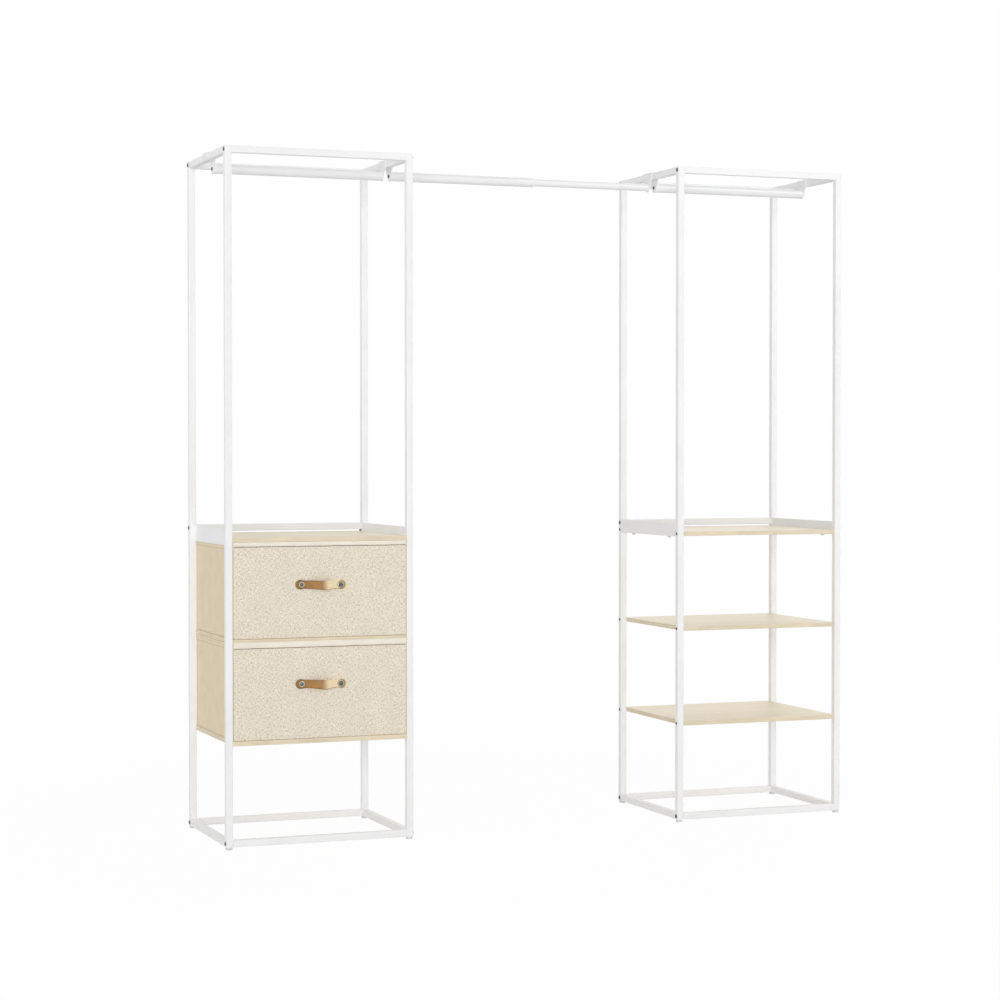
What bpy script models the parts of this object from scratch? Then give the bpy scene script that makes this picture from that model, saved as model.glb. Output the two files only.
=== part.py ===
"""A clothes rack of two square-tube towers joined by a telescopic rod.

Metres, +Z up. The origin is on the floor, at the middle of the rack's width and depth. The front
faces -Y. Sizes of a tower are measured from the left, front, bottom corner of its frame.
"""

import math

import bmesh
import bpy
from mathutils import Matrix, Vector

# Overall sizes
TOWER_WIDTH = 0.506
TOWER_DEPTH = 0.400
TOWER_TOP = 1.800
BAY_WIDTH = 0.768

# Gap between two pieces that touch
SEAT = 0.0003

# How far a cutter reaches past what it cuts
CUT_REACH = 0.005

# Square tube of the frames
TUBE = 0.018
TUBE_WALL = 0.0012
TUBE_CORNER = 0.0015
POST_CAP = 0.002
POST_PLUG = 0.016

# Feet
FOOT_RADIUS = 0.00875
FOOT_HEIGHT = 0.0067
FOOT_EDGE = 0.001
FOOT_STUD_RADIUS = 0.003
FOOT_STUD_LENGTH = 0.012
FOOT_STUD_PLAY = 0.0004

# Bolt heads on the posts' outer faces
RAIL_BOLT_RADIUS = 0.0055
RAIL_BOLT_HEIGHT = 0.0022
BOARD_BOLT_RADIUS = 0.0042
BOARD_BOLT_HEIGHT = 0.0016
HEAD_SINK = 0.0006
HEAD_CROWN = (55, 20)

# Wooden boards
BOARD_TOP = 0.800
BOARD_PITCH = 0.261
BOARD_THICKNESS = 0.012
BOARD_EDGE = 0.001
RAIL_OVER_BOARD = 0.005

# Sheet-metal guards beside the upper boards
GUARD_SHEET = 0.0015
GUARD_BELOW_BOARD = 0.010
GUARD_FLANGE = 0.030
GUARD_FOLD = 0.0015
GUARD_SCREW_RADIUS = 0.004
GUARD_SCREW_HEIGHT = 0.004
GUARD_SCREW_INSET = 0.005
GUARD_SCREW_FRONT = 0.066
GUARD_SCREW_BACK = 0.304

# Hanging rods and the telescopic connecting rod
ROD_DROP = 0.0385
ROD_RADIUS = 0.0125
ROD_WALL = 0.0012
INNER_RADIUS = 0.010
OUTER_LENGTH = 0.4174
INNER_OVERLAP = 0.080
SLIDE_PLAY = 0.0003
MOUTH_LENGTH = 0.005
MOUTH_RIM = 0.0012
MOUTH_ROUND = 0.0003

# Rod brackets
BRACKET_SHEET = 0.002
BRACKET_WIDTH = 0.055
BRACKET_TIP_RADIUS = 0.0135
BRACKET_FOLD = 0.001
BRACKET_LIP = 0.010
SPIGOT_LENGTH = 0.012
SPIGOT_PLAY = 0.0003
BRACKET_SCREW_RADIUS = 0.0045
BRACKET_SCREW_HEIGHT = 0.0025

# Fabric drawers
DRAWER_SIDE_PLAY = 0.0022
DRAWER_TOP_PLAY = 0.0015
DRAWER_DEPTH = 0.394
DRAWER_CLOTH = 0.003
DRAWER_CORNER = 0.0035
PANEL_THICKNESS = 0.005
PANEL_TOP_DROP = 0.012
BASE_THICKNESS = 0.004
BASE_EDGE_PLAY = 0.002

# Leather handles
HANDLE_LENGTH = 0.138
HANDLE_WIDTH = 0.023
HANDLE_THICKNESS = 0.003
HANDLE_RISE = 0.019
HANDLE_BELOW_BOARD = 0.110
HANDLE_SCREW_SPACING = 0.105
HANDLE_SCREW_RADIUS = 0.0075
HANDLE_SCREW_HEIGHT = 0.003
HANDLE_SHANK_RADIUS = 0.0015
HANDLE_SHANK_PLAY = 0.0003
HANDLE_NUT_RADIUS = 0.004
HANDLE_NUT_HEIGHT = 0.003
HANDLE_FLAT = 0.009
HANDLE_STEPS = 24

# Round pieces
ROD_STEPS = 32
SMALL_STEPS = 12
FOOT_STEPS = 16
ARC_STEPS = 12
SHARP_ANGLE = 35
FACING_ANGLE = 10
WELD = 0.00001

# Sizes that follow from the ones above
TOTAL_WIDTH = 2 * TOWER_WIDTH + BAY_WIDTH
POST_BOTTOM = FOOT_HEIGHT + SEAT
POST_LENGTH = TOWER_TOP - POST_BOTTOM
CLEAR_WIDTH = TOWER_WIDTH - 2 * TUBE
CLEAR_DEPTH = TOWER_DEPTH - 2 * TUBE
ROD_AXIS = TOWER_TOP - ROD_DROP
BRACKET_REACH = SEAT + BRACKET_SHEET + SEAT
HANDLE_FRONT = SEAT + HANDLE_RISE + HANDLE_THICKNESS
FRAME_FRONT = (HANDLE_FRONT - TOWER_DEPTH) / 2
INNER_LENGTH = BAY_WIDTH - 2 * BRACKET_REACH - OUTER_LENGTH + INNER_OVERLAP
TUBE_BORE = TUBE - 2 * TUBE_WALL
BOARD_TOPS = {
    "upper": BOARD_TOP,
    "middle": BOARD_TOP - BOARD_PITCH,
    "lower": BOARD_TOP - 2 * BOARD_PITCH,
}
BOARD_UNDER = BOARD_TOP - BOARD_THICKNESS
GUARD_TOP = BOARD_TOP + RAIL_OVER_BOARD + TUBE
TOP_RAIL = TOWER_TOP - TUBE / 2
BOTTOM_RAIL = POST_BOTTOM + TUBE / 2
DRAWER_WIDTH = CLEAR_WIDTH - 2 * DRAWER_SIDE_PLAY
DRAWER_HEIGHT = BOARD_PITCH - BOARD_THICKNESS - SEAT - DRAWER_TOP_PLAY
DRAWER_FLOOR = SEAT + DRAWER_CLOTH + SEAT
PANEL_BACK = DRAWER_CLOTH + SEAT + PANEL_THICKNESS
STIFFENER_WIDTH = DRAWER_WIDTH - 2 * (DRAWER_CLOTH + BASE_EDGE_PLAY)
CROSS_RAILS = {
    "front": {"top": TOP_RAIL, "bottom": BOTTOM_RAIL},
    "back": {"top": TOP_RAIL, "bottom": BOTTOM_RAIL, "middle": GUARD_TOP - TUBE / 2},
}
POST_FRONTS = {"front": 0.0, "back": TOWER_DEPTH - TUBE}
POST_LEFTS = {"left": 0.0, "right": TOWER_WIDTH - TUBE}

# Turns that carry a piece drawn about Z, or drawn flat in X and Y, into place
TO_RIGHT = (0.0, math.pi / 2, 0.0)
TO_LEFT = (0.0, -math.pi / 2, 0.0)
TO_FRONT = (math.pi / 2, 0.0, 0.0)
TO_BACK = (-math.pi / 2, 0.0, 0.0)
DOWNWARD = (math.pi, 0.0, 0.0)
UPRIGHT = (0.0, 0.0, 0.0)
FACING_X = Matrix(((0, 0, 1), (1, 0, 0), (0, 1, 0)))
FACING_Z = Matrix.Identity(3)
FACING_Y = Matrix(((1, 0, 0), (0, 0, -1), (0, 1, 0)))

for leftover in list(bpy.data.objects):
    bpy.data.objects.remove(leftover, do_unlink=True)

RACK = bpy.data.collections.new("clothes_rack")
TOOLS = bpy.data.collections.new("cutters")
bpy.context.scene.collection.children.link(RACK)
bpy.context.scene.collection.children.link(TOOLS)


def finish(name, colour, roughness, metallic=0.0):
    """A surface finish with one colour."""
    made = bpy.data.materials.new(name)
    made.use_nodes = True
    shader = made.node_tree.nodes["Principled BSDF"]
    shader.inputs["Base Color"].default_value = (*colour, 1.0)
    shader.inputs["Roughness"].default_value = roughness
    shader.inputs["Metallic"].default_value = metallic
    made.diffuse_color = (*colour, 1.0)
    return made


WHITE_PAINT = finish("white_paint", (0.86, 0.86, 0.86), 0.42)
ROD_PAINT = finish("rod_paint", (0.84, 0.84, 0.84), 0.38)
BRACKET_PAINT = finish("bracket_paint", (0.83, 0.83, 0.83), 0.42)
FOOT_PLASTIC = finish("foot_plastic", (0.30, 0.31, 0.33), 0.50)
WOOD = finish("pale_wood", (0.80, 0.75, 0.66), 0.55)
LINEN = finish("linen", (0.78, 0.74, 0.64), 0.90)
STIFFENER = finish("fibre_board", (0.45, 0.33, 0.21), 0.80)
LEATHER = finish("tan_leather", (0.55, 0.33, 0.15), 0.55)


def body(name, parent, location):
    """An empty that carries the pieces which move together."""
    carrier = bpy.data.objects.new(name, None)
    carrier.location = location
    carrier.parent = parent
    RACK.objects.link(carrier)
    return carrier


def piece(name, mesh, carrier, location, surface, rotation=UPRIGHT):
    """One sub-part of the rack, placed from its carrier's origin."""
    made = bpy.data.objects.new(name, mesh)
    made.parent = carrier
    made.location = location
    made.rotation_euler = rotation
    if not mesh.materials:
        mesh.materials.append(surface)
    RACK.objects.link(made)
    return made


def tool(name, mesh, carrier, location, rotation=UPRIGHT):
    """A shape that only cuts another one or is joined to it."""
    made = bpy.data.objects.new(name, mesh)
    made.parent = carrier
    made.location = location
    made.rotation_euler = rotation
    made.hide_render = True
    made.display_type = "WIRE"
    TOOLS.objects.link(made)
    return made


def bevel(target, width, segments=2):
    """Rounds the sharp edges."""
    rounding = target.modifiers.new("rounded edges", "BEVEL")
    rounding.width = width
    rounding.segments = segments
    rounding.limit_method = "ANGLE"


def solidify(target, wall, outwards=False):
    """Gives an open surface its wall, inside it or outside it."""
    sheet = target.modifiers.new("wall", "SOLIDIFY")
    sheet.thickness = wall
    sheet.offset = 1.0 if outwards else -1.0
    sheet.use_even_offset = True


def boolean(target, operation, other):
    """Cuts, joins or trims with another shape."""
    step = target.modifiers.new(operation.lower(), "BOOLEAN")
    step.operation = operation
    step.object = other
    step.solver = "EXACT"


def box_mesh(name, size, open_sides=()):
    """A box about its own origin, without the sides that face the given directions."""
    shape = bmesh.new()
    bmesh.ops.create_cube(shape, size=1.0, matrix=Matrix.Diagonal((*size, 1.0)))
    shape.normal_update()
    gone = []
    for face in shape.faces:
        if any(face.normal.angle(Vector(side)) < math.radians(FACING_ANGLE) for side in open_sides):
            gone.append(face)
    bmesh.ops.delete(shape, geom=gone, context="FACES")
    mesh = bpy.data.meshes.new(name)
    shape.to_mesh(mesh)
    shape.free()
    return mesh


def turned_mesh(name, profile, steps):
    """A profile of (radius, height) points turned about Z. It runs down its outer side."""
    count = len(profile)
    closed = profile[0][0] > 0
    edges = [(n, n + 1) for n in range(count - 1)]
    if closed:
        edges.append((count - 1, 0))
    drawn = bpy.data.meshes.new(name)
    drawn.from_pydata([(radius, 0.0, height) for radius, height in profile], edges, [])
    guide = bpy.data.objects.new(name, drawn)
    TOOLS.objects.link(guide)
    turn = guide.modifiers.new("turn", "SCREW")
    turn.steps = steps
    turn.render_steps = steps
    turn.use_merge_vertices = True
    turn.merge_threshold = WELD
    mesh = mesh_of(guide)
    bpy.data.meshes.remove(drawn)
    mesh.shade_smooth()
    mesh.set_sharp_from_angle(angle=math.radians(SHARP_ANGLE))
    return mesh


def mesh_of(guide):
    """The guide's final shape as a mesh of its own, with its doubles merged. The guide goes."""
    bpy.context.view_layer.update()
    depsgraph = bpy.context.evaluated_depsgraph_get()
    mesh = bpy.data.meshes.new_from_object(guide.evaluated_get(depsgraph))
    shape = bmesh.new()
    shape.from_mesh(mesh)
    bmesh.ops.remove_doubles(shape, verts=shape.verts, dist=WELD)
    bmesh.ops.recalc_face_normals(shape, faces=shape.faces)
    shape.to_mesh(mesh)
    shape.free()
    bpy.data.objects.remove(guide, do_unlink=True)
    return mesh


def plate_mesh(name, outline, thickness, facing):
    """A flat outline drawn in X and Y, thickened along Z and then turned by a matrix."""
    drawn = bpy.data.curves.new(name, "CURVE")
    drawn.dimensions = "2D"
    drawn.fill_mode = "BOTH"
    drawn.extrude = thickness / 2
    line = drawn.splines.new("POLY")
    line.points.add(len(outline) - 1)
    for point, (across, up) in zip(line.points, outline):
        point.co = (across, up, 0.0, 1.0)
    line.use_cyclic_u = True
    guide = bpy.data.objects.new(name, drawn)
    TOOLS.objects.link(guide)
    mesh = mesh_of(guide)
    bpy.data.curves.remove(drawn)
    mesh.transform(facing.to_4x4())
    return mesh


def arc(centre, radius, start, end, steps=ARC_STEPS):
    """Points along part of a circle, with angles in degrees."""
    points = []
    for n in range(steps + 1):
        angle = math.radians(start + (end - start) * n / steps)
        points.append((centre[0] + radius * math.cos(angle), centre[1] + radius * math.sin(angle)))
    return points


def head_profile(radius, height):
    """A low domed screw head on the plane Z = 0, with a short root below it."""
    crown = [(0.0, height)]
    for angle in HEAD_CROWN:
        turn = math.radians(angle)
        crown.append((radius * math.cos(turn), height * math.sin(turn)))
    return crown + [(radius, -HEAD_SINK)]


def head_mesh(name, radius, height):
    """A screw head alone, whose shank is inside the piece that it is joined to."""
    return turned_mesh(name, head_profile(radius, height) + [(0.0, -HEAD_SINK)], SMALL_STEPS)


def handle_screw_mesh(name, nut_start):
    """A handle's screw: its head on the plane Z = 0, its shank, and its nut below a given depth."""
    nut_end = nut_start - HANDLE_NUT_HEIGHT
    profile = head_profile(HANDLE_SCREW_RADIUS, HANDLE_SCREW_HEIGHT)
    profile += [(HANDLE_SHANK_RADIUS, -HEAD_SINK), (HANDLE_SHANK_RADIUS, nut_start)]
    profile += [(HANDLE_NUT_RADIUS, nut_start), (HANDLE_NUT_RADIUS, nut_end), (0.0, nut_end)]
    return turned_mesh(name, profile, SMALL_STEPS)


def pin_mesh(name, radius, start, end):
    """A plain round pin about Z, between two heights."""
    return turned_mesh(name, [(0.0, end), (radius, end), (radius, start), (0.0, start)], SMALL_STEPS)


def tube_mesh(name, radius, wall, length):
    """A plain round tube about Z, standing on its origin."""
    bore = radius - wall
    return turned_mesh(name, [(radius, length), (radius, 0.0), (bore, 0.0), (bore, length)], ROD_STEPS)


def mouth_mesh(name, length):
    """The connecting rod's outer tube, with its far end rolled in to guide the inner tube."""
    guide = INNER_RADIUS + SLIDE_PLAY
    bore = ROD_RADIUS - ROD_WALL
    neck = length - MOUTH_LENGTH
    profile = [(guide, length), (guide + MOUTH_RIM, length)]
    profile += [(ROD_RADIUS - MOUTH_ROUND, length - 2 * MOUTH_ROUND), (ROD_RADIUS, neck)]
    profile += [(ROD_RADIUS, 0.0), (bore, 0.0), (bore, neck - MOUTH_RIM), (guide, neck)]
    return turned_mesh(name, profile, ROD_STEPS)


def foot_mesh(name):
    """A disc on the floor with a stud on top."""
    stud_top = FOOT_HEIGHT + FOOT_STUD_LENGTH
    profile = [(0.0, stud_top), (FOOT_STUD_RADIUS, stud_top), (FOOT_STUD_RADIUS, FOOT_HEIGHT)]
    profile += [(FOOT_RADIUS - FOOT_EDGE, FOOT_HEIGHT), (FOOT_RADIUS, FOOT_HEIGHT - FOOT_EDGE)]
    profile += [(FOOT_RADIUS, FOOT_EDGE), (FOOT_RADIUS - FOOT_EDGE, 0.0), (0.0, 0.0)]
    return turned_mesh(name, profile, FOOT_STEPS)


def square_tube(name, carrier, centre, size, ends):
    """A square tube open at both ends."""
    skin = box_mesh(name, size, ends)
    made = piece(name, skin, carrier, centre, WHITE_PAINT)
    bevel(made, TUBE_CORNER)
    solidify(made, TUBE_WALL)
    return made


def join_head(target, carrier, head, spot, rotation):
    """Joins a bolt or screw head to the piece that it is tightened against."""
    label = f"{target.name}_head_{len(target.modifiers)}"
    boolean(target, "UNION", tool(label, head, carrier, spot, rotation))


def post(name, carrier, left, front, outwards, heads):
    """A post, hollow between its cap and its bored bottom plug, with its bolts' heads outside."""
    middle = Vector((left + TUBE / 2, front + TUBE / 2, POST_BOTTOM))
    shell = box_mesh(name, (TUBE, TUBE, POST_LENGTH))
    made = piece(name, shell, carrier, middle + Vector((0, 0, POST_LENGTH / 2)), WHITE_PAINT)
    bevel(made, TUBE_CORNER)
    hollow = box_mesh(name + "_hollow", (TUBE_BORE, TUBE_BORE, POST_LENGTH - POST_PLUG - POST_CAP))
    hollow_middle = Vector((0, 0, (POST_LENGTH + POST_PLUG - POST_CAP) / 2))
    boolean(made, "DIFFERENCE", tool(name + "_hollow", hollow, carrier, middle + hollow_middle))
    bore_radius = FOOT_STUD_RADIUS + FOOT_STUD_PLAY
    bore = pin_mesh(name + "_bore", bore_radius, -CUT_REACH, POST_PLUG + CUT_REACH)
    boolean(made, "DIFFERENCE", tool(name + "_bore", bore, carrier, middle))
    face = left if outwards == TO_LEFT else left + TUBE
    for head, height in heads:
        join_head(made, carrier, head, (face, front + TUBE / 2, height), outwards)


def plain_guard(name, carrier, edge):
    """A low side guard, level with the posts' inner faces."""
    bottom = BOARD_UNDER - GUARD_BELOW_BOARD
    inset = TUBE - GUARD_SHEET / 2
    plane = inset if edge == "left" else TOWER_WIDTH - inset
    plate = box_mesh(name, (GUARD_SHEET, CLEAR_DEPTH - 2 * SEAT, GUARD_TOP - bottom))
    piece(name, plate, carrier, (plane, TOWER_DEPTH / 2, (GUARD_TOP + bottom) / 2), WHITE_PAINT)


def flanged_guard(name, carrier, edge):
    """A low side guard whose flange carries the upper board, on two screws from below."""
    bottom = BOARD_UNDER - SEAT - GUARD_SHEET
    inwards = 1 if edge == "left" else -1
    plane = 0.0 if edge == "left" else TOWER_WIDTH - TUBE + GUARD_SHEET
    open_sides = [(inwards, 0, 0), (0, -1, 0), (0, 1, 0), (0, 0, 1)]
    skin = box_mesh(name, (GUARD_FLANGE, CLEAR_DEPTH - 2 * SEAT, GUARD_TOP - bottom), open_sides)
    centre = (plane + inwards * GUARD_FLANGE / 2, TOWER_DEPTH / 2, (GUARD_TOP + bottom) / 2)
    made = piece(name, skin, carrier, centre, WHITE_PAINT)
    bevel(made, GUARD_FOLD)
    solidify(made, GUARD_SHEET)
    for place in (GUARD_SCREW_FRONT, GUARD_SCREW_BACK):
        spot = (plane + inwards * GUARD_SCREW_INSET, place, bottom)
        join_head(made, carrier, GUARD_SCREW, spot, DOWNWARD)


def shield_outline():
    """A bracket's leg seen from the side, from the rod's axis: wide at the rail, round at the rod."""
    half = BRACKET_WIDTH / 2
    shoulder = ROD_DROP - TUBE
    top = ROD_DROP + SEAT + BRACKET_SHEET + CUT_REACH
    reach = math.hypot(half, shoulder)
    lean = math.degrees(math.atan2(shoulder, half) - math.acos(BRACKET_TIP_RADIUS / reach))
    tip = arc((0.0, 0.0), BRACKET_TIP_RADIUS, lean, -180 - lean)
    return [(half, top), (half, shoulder)] + tip + [(-half, shoulder), (-half, top)]


def bracket(name, carrier, rail_left, left_bore, right_bore):
    """A saddle over a side rail. A leg with a bore beside it is long and ends in that rod's spigot."""
    long_leg = -ROD_DROP - BRACKET_TIP_RADIUS - CUT_REACH
    left_end = long_leg if left_bore else -BRACKET_LIP
    right_end = long_leg if right_bore else -BRACKET_LIP
    width = TUBE + 2 * SEAT
    size = (width, BRACKET_WIDTH + 2 * CUT_REACH, width)
    skin = box_mesh(name, size, [(0, 0, -1), (0, -1, 0), (0, 1, 0)])
    for vertex in skin.vertices:
        leg_end = left_end if vertex.co.x < 0 else right_end
        vertex.co.z = 0.0 if vertex.co.z > 0 else leg_end
    centre = Vector((rail_left + TUBE / 2, TOWER_DEPTH / 2, TOWER_TOP + SEAT))
    made = piece(name, skin, carrier, centre, BRACKET_PAINT)
    bevel(made, BRACKET_FOLD)
    solidify(made, BRACKET_SHEET, outwards=True)
    axis = Vector((centre.x, centre.y, ROD_AXIS))
    outer_width = width + 2 * (BRACKET_SHEET + CUT_REACH)
    shield = plate_mesh(name + "_shield", shield_outline(), outer_width, FACING_X)
    boolean(made, "INTERSECT", tool(name + "_shield", shield, carrier, axis))
    if left_bore:
        rod_end(made, carrier, axis, -width / 2, left_bore, TO_LEFT, TO_RIGHT)
    if right_bore:
        rod_end(made, carrier, axis, width / 2, right_bore, TO_RIGHT, TO_LEFT)


def rod_end(target, carrier, axis, leg, bore, outwards, inwards):
    """Joins a rod's spigot to a bracket's leg, and the screw that holds it on the leg's other face."""
    name = f"{target.name}_spigot_{len(target.modifiers)}"
    spigot = pin_mesh(name, bore - SPIGOT_PLAY, -BRACKET_SHEET / 2, SPIGOT_LENGTH)
    outer_face = axis + Vector((leg + math.copysign(BRACKET_SHEET, leg), 0, 0))
    boolean(target, "UNION", tool(name, spigot, carrier, outer_face, outwards))
    join_head(target, carrier, BRACKET_SCREW, axis + Vector((leg, 0, 0)), inwards)


def frame(label, carrier, board_bolts):
    """A tower's posts, feet and rails."""
    for depth, front in POST_FRONTS.items():
        heads = [(RAIL_BOLT, height) for height in CROSS_RAILS[depth].values()]
        if board_bolts:
            heads += [(BOARD_BOLT, top - BOARD_THICKNESS / 2) for top in BOARD_TOPS.values()]
        for edge, left in POST_LEFTS.items():
            corner = f"{label}_{depth}_{edge}"
            outwards = TO_LEFT if edge == "left" else TO_RIGHT
            post(f"{corner}_post", carrier, left, front, outwards, heads)
            under = (left + TUBE / 2, front + TUBE / 2, 0.0)
            piece(f"{corner}_foot", FOOT, carrier, under, FOOT_PLASTIC)
        for level, height in CROSS_RAILS[depth].items():
            centre = (TOWER_WIDTH / 2, front + TUBE / 2, height)
            size = (CLEAR_WIDTH - 2 * SEAT, TUBE, TUBE)
            square_tube(f"{label}_{depth}_{level}_rail", carrier, centre, size, [(-1, 0, 0), (1, 0, 0)])
    for edge, left in POST_LEFTS.items():
        for level, height in (("top", TOP_RAIL), ("bottom", BOTTOM_RAIL)):
            centre = (left + TUBE / 2, TOWER_DEPTH / 2, height)
            size = (TUBE, CLEAR_DEPTH - 2 * SEAT, TUBE)
            name = f"{label}_{edge}_side_{level}_rail"
            square_tube(name, carrier, centre, size, [(0, -1, 0), (0, 1, 0)])


def tower(side, carrier, board_bolts, guard, rod_bores):
    """One tower: its frame, boards, guards, hanging rod and rod brackets."""
    label = f"{side}_tower"
    frame(label, carrier, board_bolts)
    for edge, left in POST_LEFTS.items():
        guard(f"{label}_{edge}_guard", carrier, edge)
        bracket(f"{label}_{edge}_rod_bracket", carrier, left, *rod_bores[edge])
    for level, top in BOARD_TOPS.items():
        centre = (TOWER_WIDTH / 2, TOWER_DEPTH / 2, top - BOARD_THICKNESS / 2)
        bevel(piece(f"{label}_{level}_board", BOARD, carrier, centre, WOOD), BOARD_EDGE)
    start = (TUBE + BRACKET_REACH, TOWER_DEPTH / 2, ROD_AXIS)
    piece(f"{label}_hanging_rod", HANGING_ROD, carrier, start, ROD_PAINT, TO_RIGHT)


def strap_mesh(name):
    """The strap's bowed band seen from above, wider than the finished strap."""
    bow_end = HANDLE_SCREW_SPACING / 2 - HANDLE_FLAT
    back, front = [], []
    for n in range(HANDLE_STEPS + 1):
        across = HANDLE_LENGTH * (n / HANDLE_STEPS - 0.5)
        rise, slope = 0.0, 0.0
        if abs(across) < bow_end:
            turn = math.pi * across / bow_end
            rise = HANDLE_RISE * (1 + math.cos(turn)) / 2
            slope = -HANDLE_RISE * math.sin(turn) * math.pi / bow_end / 2
        lean = math.hypot(1.0, slope)
        back.append((across, -SEAT - rise))
        front.append((across - HANDLE_THICKNESS * slope / lean, -SEAT - rise - HANDLE_THICKNESS / lean))
    return plate_mesh(name, back + front[::-1], HANDLE_WIDTH + 2 * CUT_REACH, FACING_Z)


def capsule_outline(length, width):
    """A strap's outline with round ends."""
    reach = (length - width) / 2
    return arc((reach, 0.0), width / 2, -90, 90) + arc((-reach, 0.0), width / 2, 90, 270)


def drawer(name, carrier):
    """A fabric drawer with a stiff front and base and a strap handle. Its origin is on its board."""
    cloth = box_mesh(f"{name}_fabric_box", (DRAWER_WIDTH, DRAWER_DEPTH, DRAWER_HEIGHT), [(0, 0, 1)])
    centre = (0.0, DRAWER_DEPTH / 2, SEAT + DRAWER_HEIGHT / 2)
    box = piece(f"{name}_fabric_box", cloth, carrier, centre, LINEN)
    bevel(box, DRAWER_CORNER)
    solidify(box, DRAWER_CLOTH)

    panel_height = DRAWER_HEIGHT - DRAWER_CLOTH - PANEL_TOP_DROP
    board = box_mesh(f"{name}_front_panel", (STIFFENER_WIDTH, PANEL_THICKNESS, panel_height))
    centre = (0.0, PANEL_BACK - PANEL_THICKNESS / 2, DRAWER_FLOOR + panel_height / 2)
    panel = piece(f"{name}_front_panel", board, carrier, centre, STIFFENER)
    bevel(panel, BOARD_EDGE)

    base_front = PANEL_BACK + SEAT
    base_back = DRAWER_DEPTH - DRAWER_CLOTH - BASE_EDGE_PLAY
    board = box_mesh(f"{name}_base_board", (STIFFENER_WIDTH, base_back - base_front, BASE_THICKNESS))
    centre = (0.0, (base_front + base_back) / 2, DRAWER_FLOOR + BASE_THICKNESS / 2)
    bevel(piece(f"{name}_base_board", board, carrier, centre, STIFFENER), BOARD_EDGE)

    handle(f"{name}_handle", carrier, BOARD_PITCH - BOARD_THICKNESS - HANDLE_BELOW_BOARD, box, panel)


def handle(name, carrier, height, box, panel):
    """A bowed leather strap on two screws, which pass through the fabric and the front panel."""
    strap = piece(name, strap_mesh(name), carrier, (0.0, 0.0, height), LEATHER)
    outline = capsule_outline(HANDLE_LENGTH, HANDLE_WIDTH)
    trim = plate_mesh(f"{name}_trim", outline, 2 * (HANDLE_FRONT + CUT_REACH), FACING_Y)
    boolean(strap, "INTERSECT", tool(f"{name}_trim", trim, carrier, strap.location))
    hole_radius = HANDLE_SHANK_RADIUS + HANDLE_SHANK_PLAY
    hole = pin_mesh(f"{name}_hole", hole_radius, -CUT_REACH, PANEL_BACK + CUT_REACH)
    strap_face = -SEAT - HANDLE_THICKNESS
    screw = handle_screw_mesh(f"{name}_screw", strap_face - PANEL_BACK - SEAT)
    for side, across in (("left", -HANDLE_SCREW_SPACING / 2), ("right", HANDLE_SCREW_SPACING / 2)):
        cutter = tool(f"{name}_{side}_hole", hole, carrier, (across, 0.0, height), TO_BACK)
        boolean(box, "DIFFERENCE", cutter)
        boolean(panel, "DIFFERENCE", cutter)
        spot = (across, strap_face, height)
        boolean(strap, "UNION", tool(f"{name}_{side}_screw", screw, carrier, spot, TO_FRONT))


RAIL_BOLT = head_mesh("rail_bolt_head", RAIL_BOLT_RADIUS, RAIL_BOLT_HEIGHT)
BOARD_BOLT = head_mesh("board_bolt_head", BOARD_BOLT_RADIUS, BOARD_BOLT_HEIGHT)
GUARD_SCREW = head_mesh("guard_screw_head", GUARD_SCREW_RADIUS, GUARD_SCREW_HEIGHT)
BRACKET_SCREW = head_mesh("bracket_screw_head", BRACKET_SCREW_RADIUS, BRACKET_SCREW_HEIGHT)
FOOT = foot_mesh("foot")
BOARD = box_mesh("board", (CLEAR_WIDTH - 2 * SEAT, TOWER_DEPTH, BOARD_THICKNESS))
HANGING_ROD = tube_mesh("hanging_rod", ROD_RADIUS, ROD_WALL, CLEAR_WIDTH - 2 * BRACKET_REACH)

rack = body("rack", None, (-TOTAL_WIDTH / 2, FRAME_FRONT, 0.0))
right_tower = body("right_tower", rack, (TOWER_WIDTH + BAY_WIDTH, 0.0, 0.0))
rod_bore = ROD_RADIUS - ROD_WALL
inner_bore = INNER_RADIUS - ROD_WALL
left_bores = {"left": (None, rod_bore), "right": (rod_bore, rod_bore)}
right_bores = {"left": (inner_bore, rod_bore), "right": (rod_bore, None)}
tower("left", rack, False, plain_guard, left_bores)
tower("right", right_tower, True, flanged_guard, right_bores)

outer_tube = mouth_mesh("connecting_rod_outer_tube", OUTER_LENGTH)
outer_start = (TOWER_WIDTH + BRACKET_REACH, TOWER_DEPTH / 2, ROD_AXIS)
piece("connecting_rod_outer_tube", outer_tube, rack, outer_start, ROD_PAINT, TO_RIGHT)
inner_tube = tube_mesh("connecting_rod_inner_tube", INNER_RADIUS, ROD_WALL, INNER_LENGTH)
inner_start = (-BRACKET_REACH - INNER_LENGTH, TOWER_DEPTH / 2, ROD_AXIS)
piece("connecting_rod_inner_tube", inner_tube, right_tower, inner_start, ROD_PAINT, TO_RIGHT)

for shelf, drawer_name in (("middle", "upper_drawer"), ("lower", "lower_drawer")):
    slide = body(drawer_name, rack, (TOWER_WIDTH / 2, 0.0, BOARD_TOPS[shelf]))
    drawer(drawer_name, slide)
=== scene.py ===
"""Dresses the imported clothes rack: two white towers, boards, fabric drawers and rods, in a studio.

Metres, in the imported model's frame: the front faces -Y and the floor is Z = 0.
"""

import math

import bmesh
import bpy
from bpy.props import FloatProperty, FloatVectorProperty, IntProperty, PointerProperty
from mathutils import Matrix, Vector


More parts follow.
